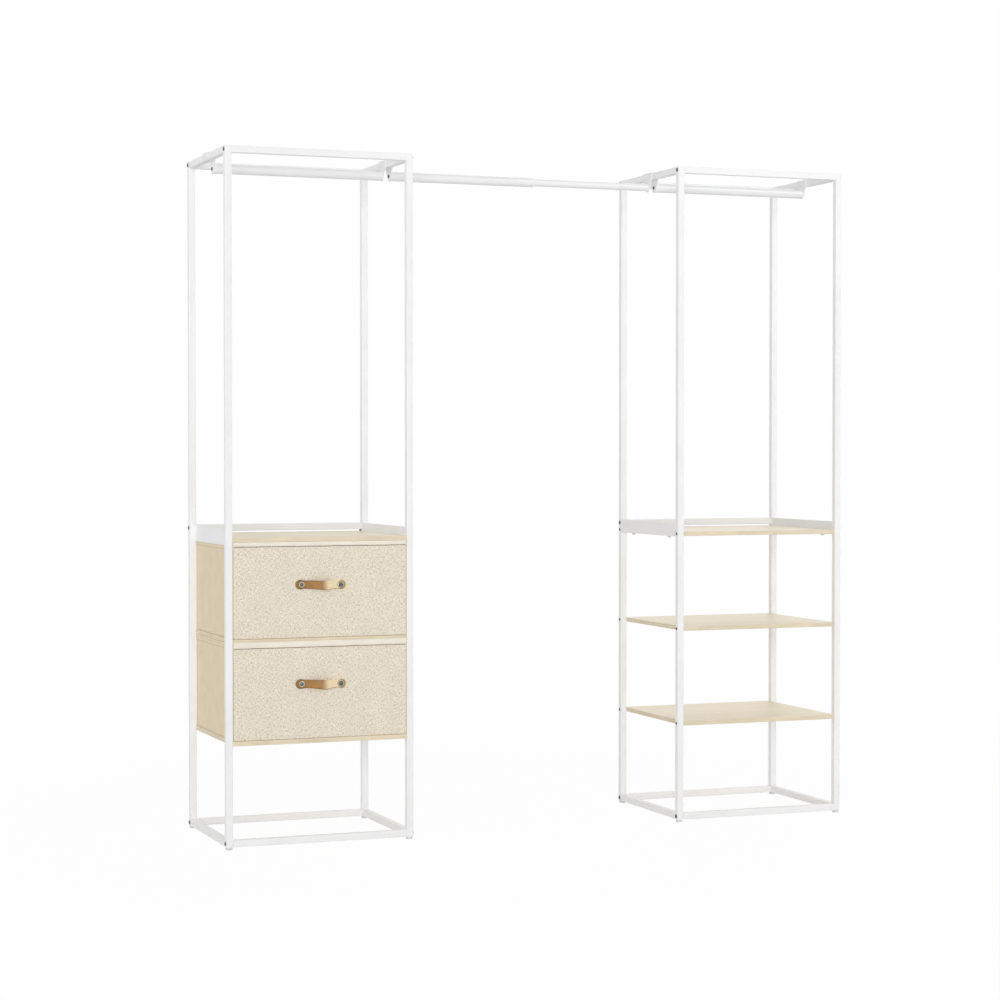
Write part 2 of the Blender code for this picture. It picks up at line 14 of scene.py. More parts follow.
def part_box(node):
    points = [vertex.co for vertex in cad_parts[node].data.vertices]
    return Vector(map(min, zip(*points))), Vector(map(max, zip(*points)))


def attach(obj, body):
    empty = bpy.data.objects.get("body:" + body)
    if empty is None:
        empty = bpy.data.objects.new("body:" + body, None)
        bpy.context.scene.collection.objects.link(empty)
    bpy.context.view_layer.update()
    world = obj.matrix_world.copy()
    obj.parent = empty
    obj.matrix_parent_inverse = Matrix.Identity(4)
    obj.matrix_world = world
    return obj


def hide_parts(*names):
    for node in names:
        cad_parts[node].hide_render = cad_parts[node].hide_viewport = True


bl_info = {
    "name": "Clothes Rack",
    "version": (1, 0, 0),
    "blender": (4, 5, 0),
    "location": "3D View > Sidebar > Rack",
    "description": "Dresses a clothes rack of two towers, fabric drawers and a telescopic rod",
    "category": "Object",
}

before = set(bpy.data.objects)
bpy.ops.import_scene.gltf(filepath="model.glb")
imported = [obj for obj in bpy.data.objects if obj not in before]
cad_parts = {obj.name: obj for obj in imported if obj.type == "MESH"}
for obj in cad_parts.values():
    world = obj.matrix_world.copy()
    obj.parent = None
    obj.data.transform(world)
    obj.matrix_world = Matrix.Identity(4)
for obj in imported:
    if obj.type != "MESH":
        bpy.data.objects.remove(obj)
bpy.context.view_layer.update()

EDGES = ("left", "right")
DEPTHS = ("front", "back")
TOWERS = ("left_tower", "right_tower")
POSTS = [(tower, depth, edge) for tower in TOWERS for depth in DEPTHS for edge in EDGES]
LEVELS = {"front": ("top", "bottom"), "back": ("top", "bottom", "middle")}
BOARDS = ("upper", "middle", "lower")
AXES = {"x": 0, "y": 1, "z": 2}
X, Y, Z = Vector((1, 0, 0)), Vector((0, 1, 0)), Vector((0, 0, 1))

# How much higher than the upper one's each drawer's hems are sewn
DRAWERS = {"upper_drawer": 0.0, "lower_drawer": 0.004}

# Which legs of each rod bracket hold a rod's end, from the left
ROD_LEGS = {
    ("left_tower", "left"): (1,),
    ("left_tower", "right"): (-1, 1),
    ("right_tower", "left"): (-1, 1),
    ("right_tower", "right"): (-1,),
}

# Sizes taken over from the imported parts
TUBE = 0.018
GAP = 0.0003
BRACKET_LEG = 0.0093
ROD_DROP = 0.0385
GUARD_SCREW_INSET = 0.005
GUARD_SCREW_PLACES = (0.066, 0.304)

# Radius and height of each kind of screw head
RAIL_BOLT = (0.0055, 0.0022)
BOARD_BOLT = (0.0042, 0.0016)
GUARD_SCREW = (0.0048, 0.0042)
BRACKET_SCREW = (0.0047, 0.0027)
RAIL_PIN = (0.0028, 0.0050)
RAIL_PIN_DROP = 0.0026
GUARD_SCREW_SEAT = 0.004

# The posts' ends: the wall seen round the cap and round the plug, and the step in both. One small facet
# of the cap's rim stands up, the same one on every run: the one farthest to this side.
CAP_WALL = 0.0014
PLUG_WALL = 0.0012
END_STEP = 0.0002
RIM_FACET = 0.0003
RIM_SIDE = Vector((-2.0, -1.0, 0.0))

# The boards' upright corners, and the hair-wide groove beside the edge band
BOARD_CORNER = 0.0022
BAND_GROOVE = 0.00006

# The plain guards' folded lips: how far they stand out, their height, and their margins
LIP_PROUD = 0.0012
LIP_HEIGHT = 0.006
LIP_END = 0.006
LIP_MARGIN = 0.0005

# The drawers' cloth: how deep a layer sinks into the next, how far the front's layers end short of the
# sides, the front hem's gap to the layers it covers, and how far the side hem stands out at the sides
# and at the back
LAYER_SINK = 0.0006
FRONT_GAP = 0.0001
HEM_GAP = 0.0003
HEM_PROUD = 0.0002
HEM_BACK = 0.0005

# Half the cut leather's width, and its screws: side, place along it, and radius of their dark middle
STRAP_HALF = 0.0122
# The right screw's wider dark middle covers part of its ring: painted shade
HANDLE_SCREWS = (("left", -0.0525, 0.0044), ("right", 0.0525, 0.0062))

# Profiles as (radius, height), the feet's radii as shares of the foot's own
GLIDE = ((0.72, 0.0004), (0.80, 0.0), (0.93, 0.0002), (1.0, 0.0012), (1.0, 0.0028), (0.985, 0.0032))
GLIDE += ((0.985, 0.0040), (1.0, 0.0044), (0.99, 0.0058))
GLIDE_NECK = 0.0004
SCREW_FACE = ((0.0076, -0.0003), (0.0077, 0.0005), (0.0075, 0.0013), (0.0070, 0.0019))
SCREW_FACE += ((0.0063, 0.0021), (0.0057, 0.0018), (0.0052, 0.0010), (0.0047, 0.0002))
SCREW_FACE += ((0.0040, 0.0000), (0.0037, 0.0006), (0.0033, 0.0009), (0.0008, 0.0010))
WASHER_GAP = 0.0004
WASHER = ((0.0048, 0.0), (0.0048, 0.0007), (0.0044, 0.0009))
NUT = ((0.0039, 0.0007), (0.0041, 0.0010), (0.0041, 0.0028), (0.0038, 0.0032))

# Each lamp's direction from the rack's middle, its distance and size, and whether it casts a shadow
RACK_MIDDLE = Vector((0.0, 0.0, 0.9))
LAMPS = {
    "front": ((-0.36, -0.93, 0.10), 20.0, 8.0, True),
    "fill": ((-0.95, -0.22, 0.22), 7.0, 4.0, False),
    "side": ((0.50, -0.71, 0.50), 8.0, 1.2, False),
    "rim": ((0.96, -0.25, 0.14), 4.4, 1.0, True),
    "back": ((0.45, 0.75, 0.48), 8.0, 4.0, True),
}

# The camera's place, its turn in degrees and how far it sees
CAMERA_PLACE = (-2.4367, -6.1135, 1.0290)
CAMERA_TURN = (88.758, 0.0, -21.19)
CAMERA_SENSOR = 36.0
CAMERA_REACH = 200.0

# The floor: its radius, its colour to other rays than the camera's, and the distances between which it
# ends in plain white, with the white's share at both
FLOOR_RADIUS = 60.0
FLOOR_AS_LIGHT = (0.93, 0.93, 0.93)
FLOOR_FADE = (1.1, 3.2, 0.95, 1.0)

# Points nearer to each other than this are one point
DOUBLE = 0.00001


def length(label, text, default):
    """A size that can be changed in the sidebar."""
    return FloatProperty(name=label, description=text, default=default, precision=4, unit="LENGTH")


def tint(label, text, default):
    """A colour that can be changed in the sidebar."""
    return FloatVectorProperty(
        name=label, description=text, default=default, size=3, min=0.0, max=1.0, subtype="COLOR"
    )


class RackFrameSizes(bpy.types.PropertyGroup):
    """Sizes of the metal frame, the rods and the boards."""

    tube_corner: length("Tube corner", "Radius of the square tubes' corners", 0.0018)
    weld_radius: length("Weld bead", "Radius of the weld beads under the side rails", 0.0015)
    guard_corner: length("Guard corner", "Radius of the plain guards' corners", 0.004)
    rod_wall: length("Rod wall", "Wall of the round rods", 0.0012)
    board_edge: length("Board edge", "Rounding of the boards' edges", 0.0009)
    band: length("Edge band", "Thickness of the band along the boards' edges", 0.0008)
    rod_sides: IntProperty(name="Rod sides", description="Faces round a rod", default=64, min=12)


class RackDrawerSizes(bpy.types.PropertyGroup):
    """Sizes of the fabric drawers and their handles."""

    cloth: length("Cloth", "Thickness of the padded cloth walls", 0.003)
    corner: length("Corner", "Radius of the drawers' upright corners", 0.004)
    side_bow: length("Side bow", "How far the side walls draw in at mid height", 0.0014)
    hem: length("Front hem", "Height of the smooth hem along the front's top", 0.0096)
    lap: length("Hem lap", "How far the front hem reaches up over the board's edge", 0.0014)
    hem_proud: length("Hem proud", "How far the front hem stands in front of the posts", 0.0012)
    groove: length("Seam", "Width of the seam under the front hem", 0.0016)
    cord: length("Seam cord", "Radius of the dark cord in the front hem's seam", 0.0008)
    side_hem: length("Side hem", "Height of the hem along the sides and the back", 0.0175)
    # The upper side thread is a dark line of painted shade
    shade_line_height: length("Shade line", "Height of the dark line of painted shade above the side hem's seam", 0.0080)
    front_layer: length("Front layer", "Thickness of the woven front layer", 0.0022)
    stitch: length("Stitch", "Length of a stitch", 0.0030)
    stitch_gap: length("Stitch gap", "Distance between two stitches", 0.0022)
    thread: length("Thread", "Radius of the sewing thread", 0.00035)
    strap_rise: length("Strap rise", "How far the handles' straps bow out", 0.019)
    strap: length("Strap", "Thickness of the handles' straps", 0.003)
    strap_drop: length("Strap drop", "How far the straps hang in the middle", 0.0004)
    strap_extra: length("Strap margin", "How far the cut leather is wider than its pattern", 0.0014)
    strap_low: length("Strap height", "How far below its marks the upper strap is screwed on", 0.0016)
    strap_tilt: FloatProperty(name="Strap tilt", description="Tilt of the straps", default=0.013)


class RackColours(bpy.types.PropertyGroup):
    """Colours of the finishes."""

    white: tint("White paint", "Powder coat of the frame", (0.838, 0.838, 0.841))
    rod: tint("Rod paint", "Paint of the rods", (0.81, 0.812, 0.818))
    wood: tint("Wood", "Faces of the boards", (0.808, 0.722, 0.550))
    band: tint("Edge band", "Edges of the boards", (0.715, 0.624, 0.462))
    linen: tint("Linen", "Woven fronts of the drawers", (0.85, 0.768, 0.637))
    side_cloth: tint("Side cloth", "Sides of the drawers", (0.757, 0.645, 0.464))
    hem: tint("Hem", "Smooth hem of the drawers' fronts", (0.84, 0.79, 0.685))
    lining: tint("Lining", "Inside of the drawers", (0.62, 0.56, 0.46))
    thread: tint("Thread", "Sewing thread", (0.60, 0.47, 0.35))
    # The cord's dark colour is partly painted shade in the seam under the front hem
    cord: tint("Cord", "Dark cord under the front hem", (0.17, 0.12, 0.07))
    leather: tint("Leather", "Straps of the handles", (0.33, 0.16, 0.035))
    # Painted highlight: the colour laid over the straps' right half
    painted_leather_highlight: tint("Pale leather", "Painted highlight on the straps' right half", (0.86, 0.72, 0.46))
    # Painted shade at the straps' left end; the same colour darkens a disc round the right screw
    shade_and_dark_end_leather: tint("Dark leather", "The straps' ends", (0.17, 0.105, 0.03))
    hardboard: tint("Hardboard", "Base boards in the drawers", (0.36, 0.235, 0.13))
    bolt: tint("Bolts", "Dark bolts and screws", (0.16, 0.16, 0.165))
    nickel: tint("Nickel", "Screws of the handles", (0.62, 0.60, 0.52))
    zinc: tint("Zinc", "Screws under the guards", (0.60, 0.60, 0.61))
    foot: tint("Feet", "Plastic of the feet", (0.62, 0.62, 0.63))


class RackStudio(bpy.types.PropertyGroup):
    """The light and the camera. A lamp's share is the light that it gives a white face turned to it."""

    lens: FloatProperty(name="Lens", description="Focal length in mm", default=85.93, min=10.0)
    daylight: FloatProperty(name="Room light", description="Light from all round", default=0.48)
    front: FloatProperty(name="Front lamp", description="Share of the lamp at the camera", default=0.28)
    fill: FloatProperty(name="Fill lamp", description="Share of the lamp at the left", default=0.23)
    side: FloatProperty(name="Side lamp", description="Share of the lamp at the right", default=0.25)
    rim: FloatProperty(name="Rim lamp", description="Share of the narrow lamp at the right", default=0.07)
    back: FloatProperty(name="Back lamp", description="Share of the lamp behind the rack", default=0.12)
    floor: tint("Floor", "Floor under the rack", (0.95, 0.95, 0.95))


GROUPS = {
    "rack_frame": RackFrameSizes,
    "rack_drawers": RackDrawerSizes,
    "rack_colours": RackColours,
    "rack_studio": RackStudio,
}


class Number:
    """A value that a finish's nodes work out. A sum on it adds its own node."""

    def __init__(self, surface, socket):
        self.surface = surface
        self.socket = socket

    def worked(self, operation, *values):
        return self.surface.node("ShaderNodeMath", {"operation": operation}, dict(enumerate(values)))

    def __add__(self, other):
        return self.worked("ADD", self, other)

    def __sub__(self, other):
        return self.worked("SUBTRACT", self, other)

    def __rsub__(self, other):
        return self.worked("SUBTRACT", other, self)

    def __mul__(self, other):
        return self.worked("MULTIPLY", self, other)

    def __abs__(self):
        return self.worked("ABSOLUTE", self)

    def sine(self):
        return self.worked("SINE", self)

    def larger(self, other):
        return self.worked("MAXIMUM", self, other)

    def smaller(self, other):
        return self.worked("MINIMUM", self, other)

    __radd__ = __add__
    __rmul__ = __mul__


class Surface:
    """A finish drawn by nodes round one principled shader."""

    def __init__(self, name, colour, roughness, settings=()):
        self.material = bpy.data.materials.new(name)
        self.material.use_nodes = True
        self.material.diffuse_color = (*colour, 1.0)
        self.tree = self.material.node_tree
        self.shader = self.tree.nodes["Principled BSDF"]
        self.give("Base Color", tuple(colour))
        self.give("Roughness", roughness)
        for socket, value in dict(settings).items():
            self.give(socket, value)

    def feed(self, socket, value):
        """Links a worked-out value to a socket, or sets a plain one on it."""
        if isinstance(value, Number):
            self.tree.links.new(value.socket, socket)
        elif socket.type == "RGBA" and len(value) == 3:
            socket.default_value = (*value, 1.0)
        else:
            socket.default_value = value

    def give(self, socket, value):
        """Sets one of the shader's own sockets."""
        self.feed(self.shader.inputs[socket], value)

    def node(self, kind, settings=(), sockets=(), output=0):
        """Adds a node with its settings first, then its sockets, and returns one of its outputs."""
        made = self.tree.nodes.new(kind)
        for name, value in dict(settings).items():
            setattr(made, name, value)
        for key, value in dict(sockets).items():
            self.feed(made.inputs[key], value)
        return Number(self, made.outputs[output])

    def spread(self, scale=(1.0, 1.0, 1.0), source="Object"):
        """Coordinates of a pattern, with its number of repeats in a metre along each axis."""
        where = self.node("ShaderNodeTexCoord", output=source)
        return self.node("ShaderNodeMapping", {}, {"Vector": where, "Scale": scale})

    def noise(self, where, scale, detail, distortion=0.0):
        """Cloudy values between 0 and 1."""
        sockets = {"Vector": where, "Scale": scale, "Detail": detail, "Distortion": distortion}
        return self.node("ShaderNodeTexNoise", {}, sockets)

    def streaks(self, scale, detail, distortion=0.0, source="Object"):
        """Cloudy values drawn out into streaks, with their number in a metre along each axis."""
        return self.noise(self.spread(scale, source), 1.0, detail, distortion)

    def cells(self, where, scale):
        """Distances within cells, as in leather's pebbles."""
        return self.node("ShaderNodeTexVoronoi", {}, {"Vector": where, "Scale": scale}, "Distance")

    def parts(self, where):
        """The separate numbers of some coordinates."""
        made = self.node("ShaderNodeSeparateXYZ", {}, {0: where})
        outputs = made.socket.node.outputs
        return [Number(self, outputs[axis]) for axis in range(3)]

    def fade(self, value, low, high, start=0.0, end=1.0):
        """Goes smoothly from start to end while the value goes from low to high."""
        sockets = {"Value": value, "From Min": low, "From Max": high, "To Min": start, "To Max": end}
        return self.node("ShaderNodeMapRange", {"interpolation_type": "SMOOTHSTEP"}, sockets)

    def mix(self, mask, first, second):
        """The first colour where the mask is 0 and the second where it is 1."""
        return self.node("ShaderNodeMix", {"data_type": "RGBA"}, {0: mask, 6: first, 7: second}, 2)

    def over(self, tone, colour, value, low, high, start=0.0, end=1.0):
        """Lays a colour over a tone, from start to end of its strength while the value rises."""
        return self.mix(self.fade(value, low, high, start, end), tone, colour)

    def clouded(self, cloud, colour, first, second):
        """A colour that drifts between two of its shades with a cloud."""
        return self.over(shade(colour, first), shade(colour, second), cloud, 0.35, 0.65)

    def relief(self, height, depth):
        """Gives the surface a relief of that depth, in metres."""
        sockets = {"Strength": 1.0, "Distance": depth, "Height": height}
        self.give("Normal", self.node("ShaderNodeBump", {}, sockets, "Normal"))


def shade(colour, factor):
    """A colour made darker or lighter."""
    return tuple(min(1.0, part * factor) for part in colour)


def powder_coat(name, colour, roughness):
    """Baked paint with a fine orange-peel skin."""
    made = Surface(name, colour, roughness, {"Specular IOR Level": 0.45})
    where = made.spread()
    cloud = made.noise(where, 7.0, 4.0)
    peel = made.noise(where, 520.0, 2.0)
    grit = made.noise(where, 1500.0, 1.0)
    tone = made.clouded(cloud, colour, 0.972, 1.0)
    made.give("Base Color", made.over(tone, shade(colour, 0.95), grit, 0.62, 0.75, 0.0, 0.5))
    made.give("Roughness", made.fade(cloud, 0.3, 0.7, roughness - 0.05, roughness + 0.05))
    made.relief(peel + 0.35 * grit, 0.00006)
    return made.material


def board_face(name, colour):
    """Pale laminated wood: long fine grain lines, broad soft bands and a few pores."""
    lacquer = {"Coat Weight": 0.18, "Coat Roughness": 0.22}
    made = Surface(name, colour, 0.5, {"Specular IOR Level": 0.35, **lacquer})
    bend = made.streaks((1.6, 9.0, 1.0), 2.0)
    broad = made.streaks((1.1, 26.0, 26.0), 4.0, 0.9)
    fine = made.streaks((9.0, 620.0, 620.0), 3.0, 0.4)
    lines = made.streaks((3.2, 190.0, 190.0), 5.0, 1.3)
    pores = made.streaks((55.0, 1500.0, 1500.0), 1.0)
    band = made.fade(broad + 0.35 * bend, 0.45, 0.85)
    grain_brown, pore_brown = (0.70, 0.60, 0.45), (0.50, 0.38, 0.25)
    tone = made.mix(band, shade(colour, 1.03), shade(colour, 0.945))
    tone = made.over(tone, grain_brown, lines, 0.5, 0.72, 0.0, 0.6)
    tone = made.over(tone, shade(colour, 0.86), fine, 0.42, 0.66, 0.0, 0.32)
    made.give("Base Color", made.over(tone, pore_brown, pores, 0.66, 0.74, 0.0, 0.4))
    made.give("Roughness", made.fade(fine, 0.3, 0.7, 0.44, 0.56))
    made.relief(0.6 * fine + 0.4 * pores, 0.00007)
    return made.material


def board_band(name, colour):
    """The boards' edge band: the same wood, cut along its grain."""
    made = Surface(name, colour, 0.55, {"Specular IOR Level": 0.35})
    streaks = made.streaks((7.0, 7.0, 900.0), 3.0, 0.3)
    cloud = made.streaks((12.0, 12.0, 12.0), 2.0)
    tone = made.clouded(cloud, colour, 1.04, 0.94)
    made.give("Base Color", made.over(tone, shade(colour, 0.82), streaks, 0.45, 0.7, 0.0, 0.6))
    made.relief(streaks, 0.00006)
    return made.material


def woven(name, colour, pitch, slubs, blotch, depth):
    """Plain-woven cloth on its own thread map: threads over and under, with thick slubs in them."""
    made = Surface(name, colour, 0.88, {"Sheen Weight": 0.12, "Specular IOR Level": 0.2})
    threads = made.spread((math.pi / pitch, math.pi / pitch, 1.0), "UV")
    across, up, _ = made.parts(threads)
    wave_across, wave_up = across.sine(), up.sine()
    over = made.fade(wave_across * wave_up, -0.35, 0.35)
    warp = abs(wave_across) * (0.35 + 0.65 * over)
    weft = abs(wave_up) * (1.0 - 0.65 * over)
    grain, longer = 0.68 / pitch, 3.5
    upright = made.streaks((grain, grain / longer, 1.0), 1.2, source="UV")
    level = made.streaks((grain / longer, grain, 7.0), 1.2, source="UV")
    cloud = made.noise(made.spread(source="UV"), 24.0, 3.0)
    slub = made.fade(upright.larger(level), 0.56, 0.7)
    thin = made.fade(upright.smaller(level), 0.32, 0.44, 1.0, 0.0)
    tone = made.clouded(cloud, colour, 0.975, 1.025)
    tone = made.mix(slub * slubs, tone, shade(colour, 1.2))
    tone = made.mix(thin * blotch, tone, shade(colour, 0.62))
    weave = warp.larger(weft)
    # Painted shade: the colour is darkened down between the threads
    made.give("Base Color", made.over(tone, shade(colour, 0.6), weave, 0.0, 0.75, 0.3, 0.0))
    made.give("Roughness", made.fade(slub, 0.0, 1.0, 0.92, 0.8))
    made.relief(weave + 0.5 * slub, depth)
    return made.material


def pressed_cloth(name, colour, spacing):
    """Thin bonded lining cloth with a grid of pressed dots and short loose fibres."""
    made = Surface(name, colour, 0.9, {"Sheen Weight": 0.1, "Specular IOR Level": 0.2})
    across, up, _ = made.parts(made.spread((math.pi / spacing,) * 3, "UV"))
    dots = made.fade(across.sine() * up.sine(), 0.25, 0.7)
    fibres = made.streaks((900.0, 260.0, 1.0), 3.0, 1.5, source="UV")
    cloud = made.noise(made.spread(source="UV"), 18.0, 3.0)
    tone = made.clouded(cloud, colour, 0.95, 1.05)
    tone = made.over(tone, shade(colour, 1.18), fibres, 0.5, 0.7, 0.0, 0.5)
    made.give("Base Color", made.mix(0.45 * dots, tone, shade(colour, 0.8)))
    made.relief(fibres * 0.3 - dots, 0.00012)
    return made.material


def leather(name, colour, pale, dark, half_width):
    """Tanned strap leather with pebbled grain, creases and burnished edges, a painted highlight on its
    right half and painted shade at its left end.
    """
    made = Surface(name, colour, 0.5, {"Specular IOR Level": 0.4, "Coat Roughness": 0.4})
    where = made.spread()
    pebbles = made.cells(where, 950.0)
    cloud = made.noise(where, 60.0, 4.0)
    creases = made.streaks((420.0, 40.0, 1.0), 3.0, 0.8, source="UV")
    run, across, _ = made.parts(made.spread(source="UV"))
    rim = made.fade(abs(across), half_width - 0.0022, half_width - 0.0004)
    scored = half_width - 0.0032
    line = made.fade(abs(abs(across) - scored), 0.0001, 0.0004, 1.0, 0.0)
    tone = made.clouded(cloud, colour, 0.86, 1.16)
    tone = made.over(tone, shade(colour, 0.7), creases, 0.55, 0.7, 0.0, 0.35)
    tone = made.mix(0.5 * line, tone, shade(colour, 0.55))
    # Painted highlight: the right half is laid over with the pale colour
    tone = made.over(tone, pale, run, -0.006, 0.017, 0.0, 0.9)
    # Painted shade: the left end is darkened
    tone = made.over(tone, dark, run, -0.062, -0.040, 0.55, 0.0)
    # A dark disc round the right screw, over the strap's right end
    past_screw = run - 0.0545
    away = past_screw * past_screw + across * across
    tone = made.over(tone, dark, away, 0.00011, 0.00015, 0.75, 0.0)
    # The rim is darkened as burnished edge, but not along the right half's upper edge: along its lower edge
    # the dark rim is also painted shade under the strap
    unshaded_upper_right = made.fade(run, 0.0, 0.010) * made.fade(across, 0.0, 0.002)
    made.give("Base Color", made.mix(0.75 * rim * (1.0 - unshaded_upper_right), tone, shade(colour, 0.42)))
    made.give("Roughness", made.fade(cloud, 0.3, 0.7, 0.44, 0.58))
    made.give("Coat Weight", made.fade(rim, 0.0, 1.0, 0.2, 0.05))
    made.relief(pebbles - 1.6 * line - 0.5 * made.fade(creases, 0.5, 0.7), 0.00012)
    return made.material


def metal(name, colour, roughness, metallic):
    """Plated or blackened steel with fine turning marks and slight stains."""
    made = Surface(name, colour, roughness, {"Metallic": metallic})
    where = made.spread()
    cloud = made.noise(where, 240.0, 4.0)
    marks = made.streaks((300.0, 300.0, 2600.0), 2.0)
    made.give("Base Color", made.mix(made.fade(cloud, 0.4, 0.65), colour, shade(colour, 0.8)))
    made.give("Roughness", made.fade(cloud, 0.3, 0.7, roughness - 0.06, roughness + 0.08))
    made.relief(marks, 0.00002)
    return made.material


def plastic(name, colour, roughness):
    """Moulded plastic with a sparked texture."""
    made = Surface(name, colour, roughness)
    where = made.spread()
    sparks = made.noise(where, 1800.0, 2.0)
    scuffs = made.noise(where, 160.0, 4.0)
    made.give("Base Color", made.mix(made.fade(scuffs, 0.45, 0.7), colour, shade(colour, 1.3)))
    made.give("Roughness", made.fade(scuffs, 0.4, 0.7, roughness, roughness + 0.15))
    made.relief(sparks, 0.00005)
    return made.material


def hardboard(name, colour):
    """Pressed brown fibre board."""
    made = Surface(name, colour, 0.72, {"Specular IOR Level": 0.3})
    where = made.spread()
    fibres = made.streaks((300.0, 900.0, 900.0), 4.0, 2.0)
    flecks = made.cells(where, 420.0)
    cloud = made.noise(where, 9.0, 3.0)
    tone = made.clouded(cloud, colour, 0.9, 1.12)
    tone = made.over(tone, shade(colour, 0.62), fibres, 0.45, 0.68, 0.0, 0.7)
    made.give("Base Color", made.over(tone, shade(colour, 1.5), flecks, 0.05, 0.2, 0.5, 0.0))
    made.relief(fibres, 0.0001)
    return made.material


def finish(name):
    """One of the rack's finishes, made when it is first asked for."""
    known = bpy.data.materials.get(name)
    if known:
        return known
    hue = bpy.context.scene.rack_colours
    makers = {
        "frame powder coat": lambda: powder_coat(name, hue.white, 0.42),
        "bracket powder coat": lambda: powder_coat(name, shade(hue.white, 0.985), 0.42),
        # A darker copy of the frame's white paint: painted shade on the back middle rails and the right
        # tower's right guard
        "painted shade powder coat": lambda: powder_coat(name, shade(hue.white, 0.95), 0.42),
        "rod paint": lambda: powder_coat(name, hue.rod, 0.34),
        "board face": lambda: board_face(name, hue.wood),
        "board edge band": lambda: board_band(name, hue.band),
        "front linen": lambda: woven(name, hue.linen, 0.0012, 1.0, 0.9, 0.0003),
        "side cloth": lambda: woven(name, hue.side_cloth, 0.0008, 0.2, 0.1, 0.00008),
        "side hem": lambda: woven(name, shade(hue.side_cloth, 1.04), 0.0006, 0.1, 0.05, 0.00006),
        "hem tape": lambda: woven(name, hue.hem, 0.0006, 0.1, 0.03, 0.00005),
        "lining": lambda: pressed_cloth(name, hue.lining, 0.0022),
        "sewing thread": lambda: woven(name, hue.thread, 0.0005, 0.1, 0.0, 0.00004),
        "seam cord": lambda: woven(name, hue.cord, 0.0005, 0.1, 0.0, 0.00004),
        "strap leather": lambda: leather(name, hue.leather, hue.painted_leather_highlight, hue.shade_and_dark_end_leather, STRAP_HALF),
        "black steel": lambda: metal(name, hue.bolt, 0.36, 0.75),
        "nickel": lambda: metal(name, hue.nickel, 0.3, 0.85),
        "zinc": lambda: metal(name, hue.zinc, 0.45, 0.4),
        "foot plastic": lambda: plastic(name, hue.foot, 0.48),
        "hardboard": lambda: hardboard(name, hue.hardboard),
    }
    return makers[name]()


def put(name, shape, surfaces, body, nodes=(), angle=35.0):
    """Makes a drawn shape a piece of the rack that rides on a body. The drawing goes."""
    bmesh.ops.remove_doubles(shape, verts=shape.verts, dist=DOUBLE)
    mesh = bpy.data.meshes.new(name)
    shape.to_mesh(mesh)
    shape.free()
    for surface in surfaces:
        mesh.materials.append(finish(surface))
    mesh.shade_smooth()
    mesh.set_sharp_from_angle(angle=math.radians(angle))
    made = bpy.data.objects.new(name, mesh)
    bpy.context.scene.collection.objects.link(made)
    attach(made, body)
    if nodes:
        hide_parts(*nodes)
    return made


def crisp(piece):
    """Keeps the flat faces of a piece flat beside its rounded edges."""
    evened = piece.modifiers.new("even faces", "WEIGHTED_NORMAL")
    evened.keep_sharp = True


def thicken(piece, wall, lining=0):
    """Gives a sheet its thickness, behind its face."""
    sheet = piece.modifiers.new("thickness", "SOLIDIFY")
    sheet.thickness = wall
    sheet.offset = -1.0
    sheet.use_even_offset = True
    sheet.material_offset = lining
    sheet.material_offset_rim = 0
    return piece


def soften(piece, width, segments=3):
    """Rounds a piece's sharp edges."""
    rounding = piece.modifiers.new("soft edges", "BEVEL")
    rounding.width = width
    rounding.segments = segments
    rounding.limit_method = "ANGLE"
    rounding.angle_limit = math.radians(40.0)
    return piece


def box_between(shape, low, high):
    """A box between two corners. Returns its vertices."""
    place = Matrix.LocRotScale((low + high) / 2, None, high - low)
    return bmesh.ops.create_cube(shape, size=1.0, matrix=place)["verts"]


def edges_of(vertices):
    """The edges between some vertices, each once and in the same order on every run."""
    return list(dict.fromkeys(edge for vertex in vertices for edge in vertex.link_edges))


def round_edges(shape, edges, radius, segments):
    """Rounds some edges of a drawn shape."""
    bmesh.ops.bevel(
        shape,
        geom=edges,
        offset=radius,
        offset_type="OFFSET",
        segments=segments,
        profile=0.5,
        affect="EDGES",
        material=-1,
        clamp_overlap=True,
    )


def along(edges, axis):
    """The edges that run along an axis."""
    return [e for e in edges if abs((e.verts[0].co - e.verts[1].co)[axis]) > DOUBLE]


def facing(shape, direction):
    """The faces that look in a direction."""
    shape.normal_update()
    return [face for face in shape.faces if face.normal.dot(direction) > 0.9]


def inset(shape, faces, thickness, depth=0.0):
    """Draws a smaller outline inside some faces, and lifts or sinks it."""
    bmesh.ops.inset_region(shape, faces=faces, thickness=thickness, depth=depth)


def aim(place, direction):
    """The placing that takes +Z to a direction at a place."""
    return Matrix.Translation(place) @ Z.rotation_difference(direction).to_matrix().to_4x4()


def stack(shape, rings, place, closed=False):
    """Rings of (radius, height, corners) joined one to the next. The ends are shut, or joined."""
    loops, first = [], len(shape.faces)
    for radius, height, corners in rings:
        level = place @ Matrix.Translation((0.0, 0.0, height))
        made = bmesh.ops.create_circle(shape, segments=corners, radius=radius, matrix=level)
        loops.append(edges_of(made["verts"]))
    pairs = list(zip(loops, loops[1:]))
    if closed:
        pairs.append((loops[-1], loops[0]))
    for lower, upper in pairs:
        bmesh.ops.bridge_loops(shape, edges=lower + upper)
    if not closed:
        for loop in (loops[0], loops[-1]):
            bmesh.ops.contextual_create(shape, geom=loop)
    shape.faces.ensure_lookup_table()
    bmesh.ops.recalc_face_normals(shape, faces=shape.faces[first:])


def socket_head(shape, radius, height, place):
    """A low domed screw head with a six-sided key hole."""
    steps, key, sunk = 24, 0.42, 0.0004
    hole = radius * key
    rings = [(radius, -sunk, steps), (radius, 0.3 * height, steps)]
    rings += [(0.95 * radius, 0.58 * height, steps), (0.82 * radius, 0.83 * height, steps)]
    rings += [(0.64 * radius, height, steps), (1.12 * hole, height, 6), (hole, 0.9 * height, 6)]
    stack(shape, rings + [(hole, 0.3 * height, 6)], place)


